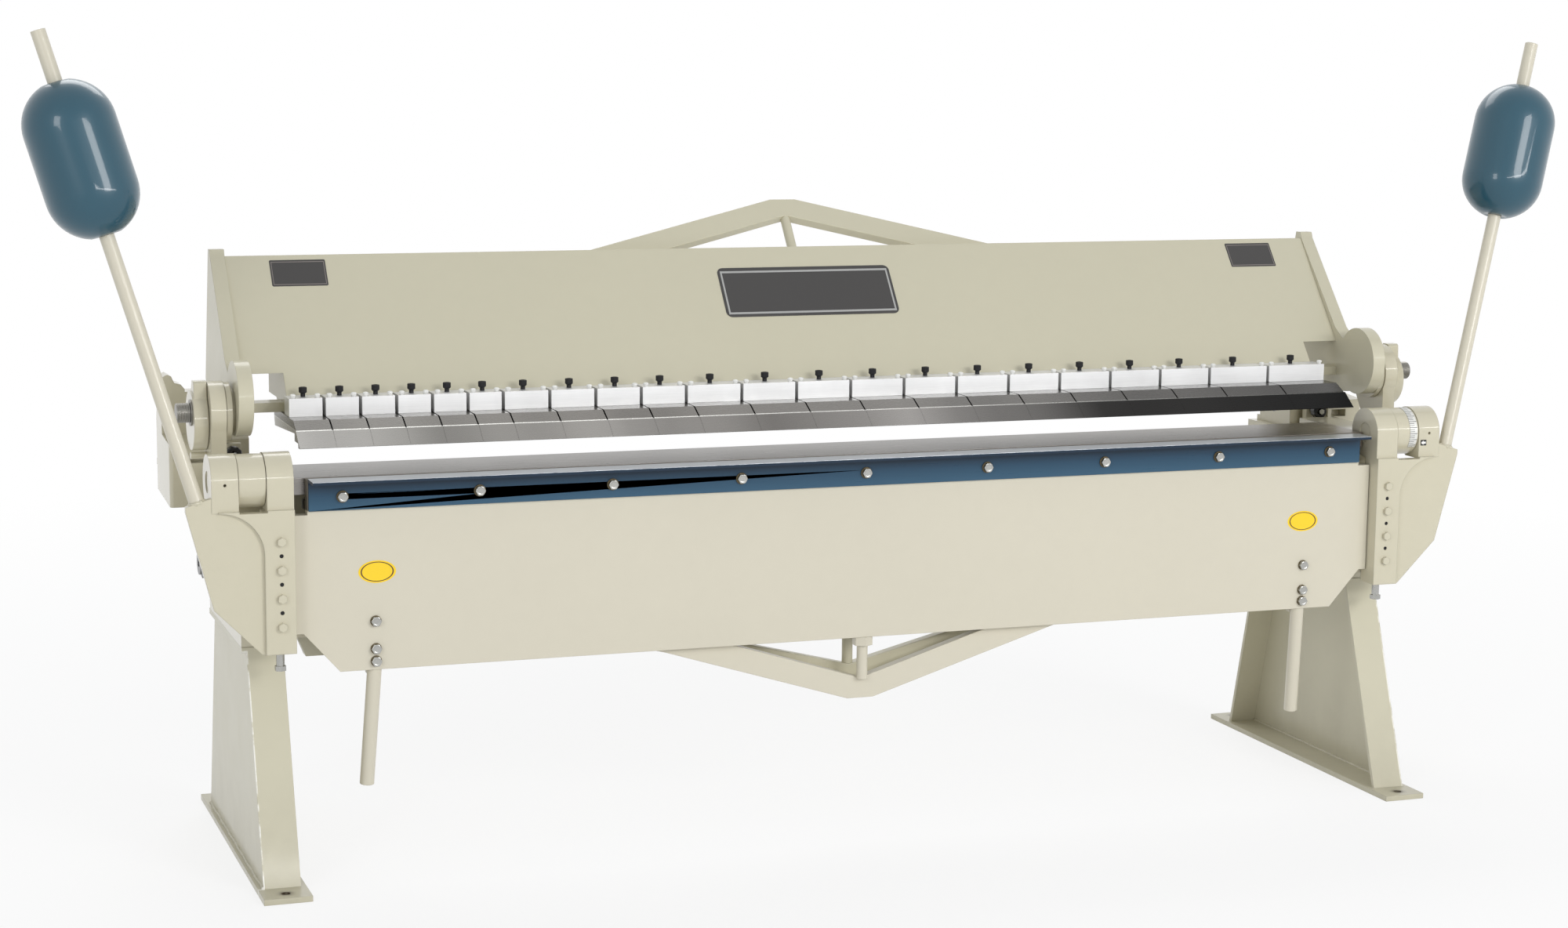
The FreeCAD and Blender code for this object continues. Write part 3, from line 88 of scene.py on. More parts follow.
# Light
def area_light(name, place, target, size, power):
    """A rectangular lamp that faces its target; size in metres, power in watts."""
    data = bpy.data.lights.new(name, "AREA")
    data.shape = "RECTANGLE"
    data.size, data.size_y = size
    data.energy = power
    lamp = add_object(name, data)
    lamp.location = place
    lamp.rotation_euler = (V(target) - V(place)).to_track_quat("-Z", "Y").to_euler()


def background_ray(tree):
    """1 for the rays that show the white background: camera, glossy and transmission rays."""
    rays = tree.nodes.new("ShaderNodeLightPath").outputs
    seen = rays["Is Camera Ray"]
    for kind in ("Is Glossy Ray", "Is Transmission Ray"):
        either = tree.nodes.new("ShaderNodeMath")
        either.operation = "MAXIMUM"
        tree.links.new(seen, either.inputs[0])
        tree.links.new(rays[kind], either.inputs[1])
        seen = either.outputs[0]
    return seen


def blend_shaders(tree, factor, first, second, output):
    mix = tree.nodes.new("ShaderNodeMixShader")
    for value, socket in zip((factor, first, second), mix.inputs):
        tree.links.new(value, socket)
    tree.links.new(mix.outputs[0], output)


def add_light():
    world = bpy.data.worlds.new("studio")
    bpy.context.scene.world = world
    world.use_nodes = True
    tree = world.node_tree
    seen = tree.nodes["Background"]
    seen.inputs["Color"].default_value = (1, 1, 1, 1)
    seen.inputs["Strength"].default_value = 1.0
    lit = tree.nodes.new("ShaderNodeBackground")
    lit.inputs["Color"].default_value = (0.96, 0.98, 1.0, 1)
    lit.inputs["Strength"].default_value = 0.5
    blend_shaders(tree, background_ray(tree), lit.outputs[0], seen.outputs[0],
                  tree.nodes["World Output"].inputs[0])
    area_light("key", (2.6, -6.8, 3.4), (0, 0, 0.7), (2.4, 2.4), 148)
    area_light("strip", (2.2, -6.6, 2.6), (0.3, 0, 0.8), (7.0, 0.25), 78)
    area_light("fill", (-5.2, -5.0, 3.0), (0, 0, 0.8), (1.6, 2.2), 64)
    area_light("back", (0.5, 6.5, 7.5), (0, 0, 0.8), (9.0, 4.0), 300)


# Colours
def linear(*values):
    """The linear colour of an sRGB one that is written 0 to 255."""
    return tuple((v / 255 / 12.92) if v <= 10 else ((v / 255 + 0.055) / 1.055) ** 2.4 for v in values) + (1,)


def grey(level):
    return (level, level, level, 1)


def shaded(colour, factor):
    return tuple(c * factor for c in colour[:3]) + (1,)


BLACK, WHITE = grey(0), grey(1)
CREAM = linear(205, 200, 177)
# painted light: a lighter, lit copy of CREAM for the upright apron and its parts
LIT_APRON_CREAM = linear(214, 208, 190)
CAST_CREAM = linear(206, 200, 177)
BLUE = linear(34, 80, 98)


# Procedural materials
class Surface:
    """A material with the few node chains that the surfaces here need."""

    def __init__(self, name, metallic=0.0, coat=0.0, coat_roughness=0.1, level=0.5):
        self.material = bpy.data.materials.new(name)
        self.material.use_nodes = True
        self.tree = self.material.node_tree
        self.shader = self.tree.nodes["Principled BSDF"]
        self.shader.inputs["Metallic"].default_value = metallic
        self.shader.inputs["Specular IOR Level"].default_value = level
        self.shader.inputs["Coat Weight"].default_value = coat
        self.shader.inputs["Coat Roughness"].default_value = coat_roughness
        self.place = self.node("ShaderNodeTexCoord").outputs["Object"]

    def node(self, kind, **settings):
        made = self.tree.nodes.new(kind)
        for key, value in settings.items():
            setattr(made, key, value)
        return made

    def link(self, source, target):
        self.tree.links.new(source, target)

    def feed(self, value, socket):
        """Links a socket to a node's output, or sets it to a plain value."""
        if hasattr(value, "is_linked"):
            self.link(value, socket)
        else:
            socket.default_value = value

    def axes(self):
        parts = self.node("ShaderNodeSeparateXYZ")
        self.link(self.place, parts.inputs[0])
        return parts.outputs

    def stretched(self, x, y, z):
        mapping = self.node("ShaderNodeMapping")
        mapping.inputs["Scale"].default_value = (x, y, z)
        self.link(self.place, mapping.inputs["Vector"])
        return mapping.outputs["Vector"]

    def noise(self, scale, detail=3.0, vector=None, roughness=0.55):
        made = self.node("ShaderNodeTexNoise")
        made.inputs["Scale"].default_value = scale
        made.inputs["Detail"].default_value = detail
        made.inputs["Roughness"].default_value = roughness
        self.link(vector or self.place, made.inputs["Vector"])
        return made.outputs["Fac"]

    def ramp(self, value, stops):
        """stops: (place, colour) pairs."""
        made = self.node("ShaderNodeValToRGB")
        elements = made.color_ramp.elements
        while len(elements) < len(stops):
            elements.new(0.5)
        for element, (place, colour) in zip(elements, stops):
            element.position = place
            element.color = colour
        self.link(value, made.inputs["Fac"])
        return made.outputs["Color"]

    def mix(self, factor, first, second, blend="MIX"):
        """Mixes two colours, which are inputs 6 and 7 and output 2 of the node."""
        made = self.node("ShaderNodeMix", data_type="RGBA", blend_type=blend)
        self.feed(factor, made.inputs["Factor"])
        self.feed(first, made.inputs[6])
        self.feed(second, made.inputs[7])
        return made.outputs[2]

    def math(self, operation, first, second=0.0):
        made = self.node("ShaderNodeMath", operation=operation)
        self.feed(first, made.inputs[0])
        self.feed(second, made.inputs[1])
        return made.outputs[0]

    def away(self, value, centre):
        """How far a value is from a centre."""
        return self.math("ABSOLUTE", self.math("SUBTRACT", value, centre))

    def distance(self, first, second):
        """The distance that two offsets at right angles make together."""
        return self.math("SQRT", self.math("ADD", self.math("POWER", first, 2.0), self.math("POWER", second, 2.0)))

    def spread(self, value, low, high, start=0.0, end=1.0):
        """low where the value is start, high where it is end, held beyond them."""
        made = self.node("ShaderNodeMapRange")
        made.inputs["From Min"].default_value = start
        made.inputs["From Max"].default_value = end
        made.inputs["To Min"].default_value = low
        made.inputs["To Max"].default_value = high
        self.link(value, made.inputs["Value"])
        return made.outputs["Result"]

    def length(self, start, end):
        """0 at one place along X, 1 at the other."""
        return self.spread(self.axes()["X"], 0.0, 1.0, start, end)

    def colour(self, value):
        self.link(value, self.shader.inputs["Base Color"])

    def rough(self, value, low, high):
        self.link(self.spread(value, low, high), self.shader.inputs["Roughness"])

    def bump(self, layers, edge=0.0):
        """layers: (height, strength, distance in metres), the coarse ones first; edge: radius of corners."""
        normal = None
        if edge:
            bevel = self.node("ShaderNodeBevel", samples=6)
            bevel.inputs["Radius"].default_value = edge
            normal = bevel.outputs["Normal"]
        for height, strength, distance in layers:
            made = self.node("ShaderNodeBump")
            made.inputs["Strength"].default_value = strength
            made.inputs["Distance"].default_value = distance
            self.link(height, made.inputs["Height"])
            if normal:
                self.link(normal, made.inputs["Normal"])
            normal = made.outputs["Normal"]
        self.link(normal, self.shader.inputs["Normal"])


def paint(name, colour, cast=0.0, tint=0.03, edge=0.002, coat=0.25, level=0.3, detail=None):
    """Gloss machine paint: slight orange peel, and the waves of a casting where cast is given."""
    s = Surface(name, coat=coat, coat_roughness=0.08, level=level)
    broad = s.noise(1.6, 2.0)
    fine = s.noise(34.0, 4.0)
    tone = s.mix(broad, shaded(colour, 1 - tint), shaded(colour, 1 + tint))
    tone = s.mix(s.spread(fine, 0.0, 0.10), tone, shaded(colour, 0.72))
    if detail:
        tone = detail(s, tone)
    s.colour(tone)
    s.rough(s.noise(9.0, 3.0), 0.26, 0.42)
    layers = [(s.noise(210.0, 1.0), 0.10, 0.0005)]
    if cast:
        layers.insert(0, (s.noise(46.0, 3.0), cast, 0.0012))
    s.bump(layers, edge)
    return s.material


def leg_wear_and_painted_light(s, tone):
    """Floor dust; grime and painted shade round the anchor holes; a bright line down the outer front edge that is
    partly paint wear and partly a painted highlight.
    """
    dust_height, dust_share = 0.25, 0.3
    edge_foot, edge_slope, outer_face = 0.354, 0.3524, 1.3222  # of the flange that leans back with height
    axes = s.axes()
    across, back = s.math("ABSOLUTE", axes["X"]), s.math("ABSOLUTE", axes["Y"])
    low = s.math("MAXIMUM", s.math("SUBTRACT", 1.0, s.math("DIVIDE", axes["Z"], dust_height)), 0.0)
    dust = s.math("MULTIPLY", s.math("MULTIPLY", low, dust_share), s.noise(19.0, 5.0))
    tone = s.mix(dust, tone, linear(120, 112, 96))
    # painted shade of the dark anchor hole together with a grime ring: dark round each hole
    reach = s.distance(s.math("SUBTRACT", across, ANCHOR_X), s.math("SUBTRACT", back, ANCHOR_Y))
    reach = s.math("ADD", reach, s.math("MULTIPLY", s.noise(90.0, 3.0), 0.008))
    grime_and_hole_shade = s.ramp(reach, [(0.0135, WHITE), (0.0165, grey(0.35)), (0.026, BLACK)])
    tone = s.mix(grime_and_hole_shade, tone, linear(66, 54, 40))
    # a bright scratchy line down the outer front edge: partly paint wear, partly a painted highlight on that edge
    edge = s.math("SUBTRACT", edge_foot, s.math("MULTIPLY", axes["Z"], edge_slope))
    line = s.math("LESS_THAN", s.math("ABSOLUTE", s.math("ADD", axes["Y"], edge)), 0.0022)
    line = s.math("MULTIPLY", line, s.math("GREATER_THAN", across, outer_face))
    bright_edge = s.math("MULTIPLY", line, s.ramp(s.noise(26.0, 5.0), [(0.38, BLACK), (0.5, grey(0.9))]))
    return s.mix(bright_edge, tone, linear(248, 246, 238))


def steel(name, colour, low, high, streaks=(1, 1, 1), metallic=0.95, spots=0.0, scratch=0.12, shade_fall=0.0):
    """Worked steel: grinding lines, a cloudy oil film, rust where spots is given, and painted shade that darkens
    it to the right where a fall is given.
    """
    s = Surface(name, metallic=metallic)
    lines = s.noise(120.0, 5.0, s.stretched(*streaks), 0.7)
    cloud = s.noise(7.0, 4.0)
    tone = s.mix(cloud, shaded(colour, 0.78), shaded(colour, 1.18))
    tone = s.mix(s.spread(lines, 0.0, 0.5), tone, shaded(colour, 0.6))
    if spots:
        rust = s.ramp(s.noise(60.0, 6.0), [(0.62, BLACK), (0.72, grey(spots))])
        tone = s.mix(rust, tone, linear(92, 70, 52))
    # painted shade: darker towards the right
    if shade_fall:
        tone = s.mix(s.math("MULTIPLY", s.length(-1.2, 1.2), shade_fall), tone, shaded(colour, 0.5))
    s.colour(tone)
    s.rough(lines, low, high)
    s.bump([(lines, scratch, 0.0002)], 0.0008)
    return s.material


def finger_steel():
    """Ground tool steel with painted reflections: bright at the left, darker to the right, the nose facet the
    lighter one, and a painted highlight along the ledge.
    """
    row_half = 1.22
    s = Surface("finger_steel", metallic=0.85, level=0.25)
    lines = s.noise(150.0, 4.0, s.stretched(0.12, 3.0, 3.0), 0.7)
    height = s.axes()["Z"]
    along = s.length(-row_half, row_half)
    # painted reflections: the nose facet's tone runs from bright at the left to near black at the right
    nose_reflection = s.ramp(along, [(0.0, linear(200, 198, 194)), (0.12, linear(150, 148, 144)),
                          (0.28, linear(172, 169, 165)), (0.42, linear(128, 125, 122)),
                          (0.55, linear(165, 162, 159)), (0.66, linear(118, 116, 114)),
                          (0.74, linear(52, 51, 50)), (1.0, linear(22, 22, 22))])
    # painted reflections on the top facet as well, darker to the right
    top = s.ramp(along, [(0.0, linear(128, 126, 122)), (0.3, linear(112, 109, 105)),
                         (0.6, linear(110, 108, 105)), (1.0, linear(86, 85, 84))])
    tone = s.mix(s.math("GREATER_THAN", height, LEDGE_Z + 0.0006), nose_reflection, top)
    each = s.ramp(s.noise(1.0, 0.0, s.stretched(5.3, 0.0, 0.0)), [(0.35, BLACK), (0.65, WHITE)])
    tone = s.mix(s.math("MULTIPLY", each, 0.35), tone, grey(0.4), "MULTIPLY")
    tone = s.mix(s.spread(lines, 0.0, 0.3), tone, grey(0.5), "MULTIPLY")
    # painted highlight: a thin bright line along the ledge, fading out to the right
    ledge_highlight = s.math("LESS_THAN", s.away(height, LEDGE_Z), 0.0005)
    highlight_fade = s.spread(along, 0.9, 0.05)
    s.colour(s.mix(s.math("MULTIPLY", ledge_highlight, highlight_fade), tone, linear(238, 238, 234)))
    s.rough(lines, 0.2, 0.34)
    s.bump([(lines, 0.04, 0.0002)], 0.0005)
    return s.material


def angle_paint():
    """The painted angle on the apron, with painted shade darker towards the bottom of its face, worn bright on the
    top of its lip.
    """
    face_bottom, face_top, lip_top = 0.775, 0.830, 0.8372
    s = Surface("angle_paint", coat=0.15, level=0.3)
    axes = s.axes()
    # painted shade: the face gets darker towards its bottom edge
    shade_drop = s.spread(axes["Z"], 1.0, 0.0, face_bottom, face_top)
    tone = s.ramp(shade_drop, [(0.0, linear(14, 38, 58)), (0.5, linear(34, 68, 92)), (1.0, linear(48, 84, 108))])
    tone = s.mix(s.noise(1.4, 2.0), tone, s.mix(1.0, tone, grey(1.15), "MULTIPLY"))
    lines = s.noise(110.0, 4.0, s.stretched(0.1, 4.0, 4.0), 0.7)
    bright = s.mix(lines, linear(150, 156, 162), linear(206, 212, 218))
    edge = s.math("ADD", axes["Z"], s.math("MULTIPLY", s.noise(70.0, 4.0), 0.0016))
    bright_edge = s.math("GREATER_THAN", edge, lip_top)
    s.colour(s.mix(bright_edge, tone, bright))
    s.link(s.math("MULTIPLY", bright_edge, 0.85), s.shader.inputs["Metallic"])
    s.rough(lines, 0.22, 0.38)
    s.bump([(lines, 0.06, 0.0002)], 0.0012)
    return s.material


def bed_surface():
    """Planed bed plate: grey steel with a brown film to the right and pairs of small dark marks."""
    pitch, phase, half_gap, row_y, mark_radius = 0.287, 0.51, 0.006, -0.240, 0.0028
    s = Surface("bed_surface", metallic=0.9)
    axes = s.axes()
    lines = s.noise(110.0, 5.0, s.stretched(0.12, 5.0, 5.0), 0.7)
    cloud = s.noise(5.0, 4.0)
    tone = s.mix(cloud, linear(132, 129, 126), linear(160, 157, 153))
    film = s.math("MULTIPLY", s.length(0.2, 1.2), s.spread(s.noise(9.0, 4.0), 0.2, 0.7))
    tone = s.mix(film, tone, linear(120, 106, 88))
    column = s.math("FRACT", s.math("ADD", s.math("DIVIDE", axes["X"], pitch), phase))
    column = s.math("SUBTRACT", s.math("MULTIPLY", s.away(column, 0.5), pitch), half_gap)
    reach = s.distance(column, s.math("SUBTRACT", axes["Y"], row_y))
    s.colour(s.mix(s.math("LESS_THAN", reach, mark_radius), tone, linear(34, 33, 32)))
    s.rough(lines, 0.2, 0.38)
    s.bump([(lines, 0.10, 0.0002)], 0.0008)
    return s.material


def scale_band():
    """Pale band with plain dark graduations round the hinge axis: short ones each 5 degrees, long ones each 15."""
    short_end = 1.3435
    s = Surface("scale_band", metallic=0.2)
    axes = s.axes()
    angle = s.math("DEGREES", s.math("ARCTAN2", s.math("SUBTRACT", axes["Z"], HINGE_Z),
                                     s.math("SUBTRACT", axes["Y"], HINGE_Y)))

    def ticks(step, width):
        turn = s.away(s.math("FRACT", s.math("DIVIDE", angle, step)), 0.5)
        return s.math("GREATER_THAN", turn, 0.5 - width / step)

    fine = s.math("MULTIPLY", ticks(5.0, 0.55), s.math("LESS_THAN", axes["X"], short_end))
    marks = s.math("MAXIMUM", fine, ticks(15.0, 0.6))
    s.colour(s.mix(marks, linear(226, 226, 222), linear(40, 40, 40)))
    s.rough(s.noise(60.0), 0.3, 0.45)
    return s.material


def label_material(name, centre, half, ground, line, start, width, oval=False):
    """A plain label: one ground colour with a thin line that starts a little way inside its edge."""
    s = Surface(name, coat=0.4)
    axes = s.axes()
    across, rise = s.away(axes["X"], centre[0]), s.away(axes["Z"], centre[1])
    if oval:
        reach = s.distance(s.math("DIVIDE", across, half[0]), s.math("DIVIDE", rise, half[1]))
        reach = s.math("MULTIPLY", s.math("SUBTRACT", reach, 1.0), half[1])
    else:
        reach = s.math("MAXIMUM", s.math("SUBTRACT", across, half[0]), s.math("SUBTRACT", rise, half[1]))
    line_on = s.math("MULTIPLY", s.math("GREATER_THAN", reach, -start - width),
                     s.math("LESS_THAN", reach, -start))
    tone = s.mix(s.noise(40.0, 3.0), ground, shaded(ground, 0.94))
    s.colour(s.mix(line_on, tone, line))
    s.rough(s.noise(25.0), 0.3, 0.42)
    return s.material


def pointer_material():
    """Black plate with a plain white arrow that points at the degree band."""
    tip, head_end, head_slope = 0.0064, -0.0004, 0.85
    stem_width, stem_reach = 0.0024, 0.0056
    s = Surface("pointer_plate", coat=0.3)
    axes = s.axes()
    along = s.math("SUBTRACT", axes["X"], POINTER_X)
    rise = s.away(axes["Z"], POINTER_Z)
    head = s.math("LESS_THAN", rise, s.math("MULTIPLY", s.math("ADD", along, tip), head_slope))
    head = s.math("MULTIPLY", head, s.math("LESS_THAN", along, head_end))
    stem = s.math("LESS_THAN", s.math("ABSOLUTE", along), stem_reach)
    stem = s.math("MULTIPLY", s.math("LESS_THAN", rise, stem_width), stem)
    ground = s.mix(s.noise(60.0), linear(24, 24, 24), linear(34, 34, 34))
    s.colour(s.mix(s.math("MAXIMUM", head, stem), ground, linear(240, 240, 236)))
    s.rough(s.noise(30.0), 0.3, 0.4)
    return s.material


# Mesh tools
def finished(name, bm, body, material, smooth=True, replaces=()):
    """Turns a bmesh into a visible piece that rides on a body, in place of the CAD nodes it replaces."""
    bmesh.ops.remove_doubles(bm, verts=bm.verts, dist=1e-6)
    bmesh.ops.recalc_face_normals(bm, faces=bm.faces)
    mesh = bpy.data.meshes.new(name)
    bm.to_mesh(mesh)
    bm.free()
    if smooth:
        mesh.polygons.foreach_set("use_smooth", [True] * len(mesh.polygons))
    mesh.materials.append(material)
    piece = add_object(name, mesh)
    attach(piece, body)
    if replaces:
        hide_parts(*replaces)


def crosswise(axis):
    """Two directions at right angles to an axis and to each other."""
    axis = axis.normalized()
    side = Z if abs(axis.z) < 0.9 else X
    first = (side - axis * side.dot(axis)).normalized()
    return first, axis.cross(first)


def loop(bm, centre, first, second, radii):
    """A closed loop of vertices that turns from the first direction to the second, one for each radius."""
    turns = (FULL_TURN * k / len(radii) for k in range(len(radii)))
    return [bm.verts.new(centre + radius * (math.cos(turn) * first + math.sin(turn) * second))
            for turn, radius in zip(turns, radii)]


def ring(bm, centre, axis, radius, steps):
    return loop(bm, centre, *crosswise(axis), [radius] * steps)


def hex_ring(bm, centre, axis, flats, steps, limit):
    """A ring that follows a hexagon, or a circle of radius limit where that is smaller."""
    sixth = math.pi / 3
    folds = ((FULL_TURN * k / steps + sixth / 2) % sixth - sixth / 2 for k in range(steps))
    return loop(bm, centre, *crosswise(axis), [min(flats / 2 / math.cos(fold), limit) for fold in folds])


def skin(bm, rings, caps=True):
    """Faces from ring to ring, and over the first and the last one where caps is set."""
    steps = len(rings[0])
    for a, b in zip(rings, rings[1:]):
        for k in range(steps):
            n = (k + 1) % steps
            bm.faces.new((a[k], a[n], b[n], b[k]))
    if caps:
        bm.faces.new(rings[0][::-1])
        bm.faces.new(rings[-1])


def skin_round(bm, rings):
    """Faces from ring to ring and from the last one back to the first."""
    skin(bm, rings + rings[:1], caps=False)


def lathe(bm, start, axis, profile, steps):
    """profile: (distance along the axis, radius) pairs."""
    skin(bm, [ring(bm, start + axis * t, axis, r, steps) for t, r in profile])


def draw_in(vertices, centre, share):
    """Moves vertices towards a centre, for the grooves of a knurl."""
    for vertex in vertices:
        vertex.co += (centre - vertex.co) * share


def islands(node):
    """Each loose solid of a node: its vertices as an array."""
    mesh = NODES[node].data
    points = np.empty(len(mesh.vertices) * 3)
    mesh.vertices.foreach_get("co", points)
    points = points.reshape(-1, 3)
    keys = {}
    same = [keys.setdefault(tuple(np.round(p, 6)), i) for i, p in enumerate(points)]
    parent = list(range(len(points)))

    def root(i):
        while parent[i] != i:
            parent[i] = parent[parent[i]]
            i = parent[i]
        return i

    for edge in mesh.edges:
        a, b = root(same[edge.vertices[0]]), root(same[edge.vertices[1]])
        if a != b:
            parent[max(a, b)] = min(a, b)
    groups = {}
    for i in range(len(points)):
        groups.setdefault(root(same[i]), []).append(i)
    return [points[g] for _, g in sorted(groups.items())]


def standing(points):
    """The foot and the height of a solid that stands along Z."""
    low, high = points.min(axis=0), points.max(axis=0)
    return V(((low[0] + high[0]) / 2, (low[1] + high[1]) / 2, low[2])), high[2] - low[2]


# Modifiers and materials of the CAD nodes; their meshes stay as they are
WELD_DISTANCE = 2e-5


def soften(node, width):
    """Rounds a node's sharp edges."""
    piece = NODES[node]
    weld = piece.modifiers.new("weld", "WELD")
    weld.merge_threshold = WELD_DISTANCE
    flat = piece.modifiers.new("flat", "DECIMATE")
    flat.decimate_type = "DISSOLVE"
    flat.angle_limit = math.radians(0.4)
    bevel = piece.modifiers.new("bevel", "BEVEL")
    bevel.width = width
    bevel.segments = 2
    bevel.limit_method = "ANGLE"
    bevel.angle_limit = math.radians(32)
    bevel.use_clamp_overlap = True
    bevel.miter_outer = "MITER_ARC"
    for polygon in piece.data.polygons:
        polygon.use_smooth = True
    normals = piece.modifiers.new("normals", "WEIGHTED_NORMAL")
    normals.keep_sharp = False
    normals.weight = 90


def smooth(node):
    """Shades a node's round faces smoothly and keeps its sharp edges."""
    piece = NODES[node]
    weld = piece.modifiers.new("weld", "WELD")
    weld.merge_threshold = WELD_DISTANCE
    for polygon in piece.data.polygons:
        polygon.use_smooth = True
    split = piece.modifiers.new("split", "EDGE_SPLIT")
    split.split_angle = math.radians(31)
    split.use_edge_sharp = False


def both(*stems):
    """The left and the right node of each stem."""
    return [stem + "_" + name for stem in stems for _, name in SIDES]


def dress(material, *names):
    for name in names:
        data = NODES[name].data
        data.materials.clear()
        data.materials.append(material)


cream = paint("cream_plate", CREAM)
# painted light: the apron parts get the lighter, lit copy of the cream
lit_apron_cream = paint("lit_apron_cream_paint", LIT_APRON_CREAM)
cast_cream = paint("cream_casting", CAST_CREAM, cast=0.5, edge=0.0035, coat=0.8, level=0.25)
leg_cream = paint("cream_leg", CREAM, detail=leg_wear_and_painted_light)
blue_cast = paint("blue_casting", BLUE, tint=0.10, edge=0.0, coat=0.6)
bare = steel("machined_steel", linear(150, 150, 150), 0.25, 0.5, (0.15, 4, 4))
dark = steel("rolled_steel", linear(126, 120, 110), 0.35, 0.6, (0.2, 2, 2), metallic=0.6, spots=0.4)
washer_steel = steel("washer_steel", linear(106, 94, 68), 0.35, 0.55, metallic=0.4)
stud_steel = steel("stud_steel", linear(150, 148, 142), 0.25, 0.45)
zinc = steel("zinc_plate", linear(184, 184, 180), 0.2, 0.36, metallic=1.0, scratch=0.05)
black = steel("black_oxide", linear(38, 38, 40), 0.3, 0.5, metallic=0.6, scratch=0.05)
aluminium = steel("satin_aluminium", linear(238, 238, 238), 0.32, 0.5, (0.1, 6, 6), metallic=0.55,
                  scratch=0.05, shade_fall=0.08)
knob_black = paint("black_knob", linear(24, 24, 25))
pale = paint("pale_buttons", linear(240, 240, 236), tint=0.02)

dress(cream, "leaf_plate", "leaf_truss", "leaf_truss_post", "finger_bar", "bed_web", "bed_truss",
      "bed_truss_post", *both("leaf_end"))
dress(lit_apron_cream, "apron_plate", "apron_truss", "apron_truss_post", *both("handle", "rod"))
dress(cast_cream, "hub_rings", "apron_end_bolts", "hinge_pins",
      *both("apron_end", "bed_end", "link", "eccentric_disc", "slide", "lock_pin"))
dress(leg_cream, *both("leg"))
dress(angle_paint(), "apron_angle")
dress(blue_cast, *both("weight"))
dress(finger_steel(), "fingers_3_inch", "fingers_4_inch", "fingers_5_inch", "fingers_6_inch")
dress(bed_surface(), "bed_plate")
dress(bare, "pivot_pins", *both("crank"))
dress(black, "clamp_screws", "apron_dowels")
dress(dark, "apron_edge_bar")
dress(zinc, "angle_bolts", "handle_bolts", "bed_end_bolts", "adjusting_screws", *both("setback_screw"))
dress(stud_steel, "trunnion_studs", "stud_washers")
dress(pale, "clamp_buttons")
dress(aluminium, "finger_clamps")
dress(knob_black, *both("setback_knob"))
dress(scale_band(), "degree_scale")

for edge_width, nodes in ((0.001, ["apron_angle", "apron_edge_bar", "bed_plate"]),
                          (0.002, ["leaf_plate", "leaf_truss", "apron_truss", "bed_truss", *both("leaf_end")]),
                          (0.003, both("eccentric_disc"))):
    for node in nodes:
        soften(node, edge_width)
for node in ("adjusting_screws", "angle_bolts", "apron_end_bolts", "apron_plate", "bed_web", "degree_scale",
             "finger_bar", "finger_clamps", "handle_bolts", "hinge_pins", "hub_rings", "pivot_pins",
             "stud_washers", "trunnion_studs",
             *both("apron_end", "bed_end", "crank", "handle", "leg", "link", "lock_pin", "rod", "slide")):
    smooth(node)


# Counterweights: capsules with a bore that slide on round rods
def counterweights():
    reach, radius, length = 0.707, 0.092, 0.320
    bore_radius, bore_inset, mouth_radius = 0.0152, 0.004, 0.024
    cap_steps, barrel_steps = 14, 8
    half, barrel = length / 2, length - 2 * radius
    cap = [(-half + bore_inset, bore_radius)]
    for k in range(cap_steps + 1):
        turn = math.pi / 2 * k / cap_steps
        if math.sin(turn) * radius > mouth_radius:
            cap.append((-half + radius * (1 - math.cos(turn)), radius * math.sin(turn)))
    middle = [(-half + radius + barrel * k / barrel_steps, radius) for k in range(1, barrel_steps)]
    profile = cap + middle + [(-t, r) for t, r in reversed(cap)]
    for side, name in SIDES:
        foot, top = (V((side * p.x, p.y, p.z)) for p in (ROD_FOOT, ROD_TOP))
        axis = (top - foot).normalized()
        centre = foot + axis * reach
        bm = bmesh.new()
        skin_round(bm, [ring(bm, centre + axis * t, axis, r, 64) for t, r in profile])
        finished("capsule_weight_" + name, bm, "weight_" + name, blue_cast,
                 replaces=("weight_" + name,))


# Labels and plates, all without text
def plaque(name, body, material, centre, up, half, thick, corner):
    """A thin plate with rounded corners on a flat face; half and corner are sizes along X and along up."""
    corner_steps, sunk = 8, 0.0002
    out = X.cross(up)
    outline = []
    for k, (sx, sy) in enumerate(((1, 1), (-1, 1), (-1, -1), (1, -1))):
        for j in range(corner_steps + 1):
            turn = math.pi / 2 * (k + j / corner_steps)
            outline.append((sx * (half[0] - corner[0]) + corner[0] * math.cos(turn),
                            sy * (half[1] - corner[1]) + corner[1] * math.sin(turn)))
    bm = bmesh.new()
    rings = []
    for height, inset in ((-sunk, 0.0), (thick * 0.7, 0.0), (thick, thick * 0.4)):
        rings.append([bm.verts.new(V(centre) + X * x * (1 - inset / half[0]) + up * y * (1 - inset / half[1])
                                   + out * height) for x, y in outline])
    skin(bm, rings)
    finished(name, bm, body, material, smooth=False)


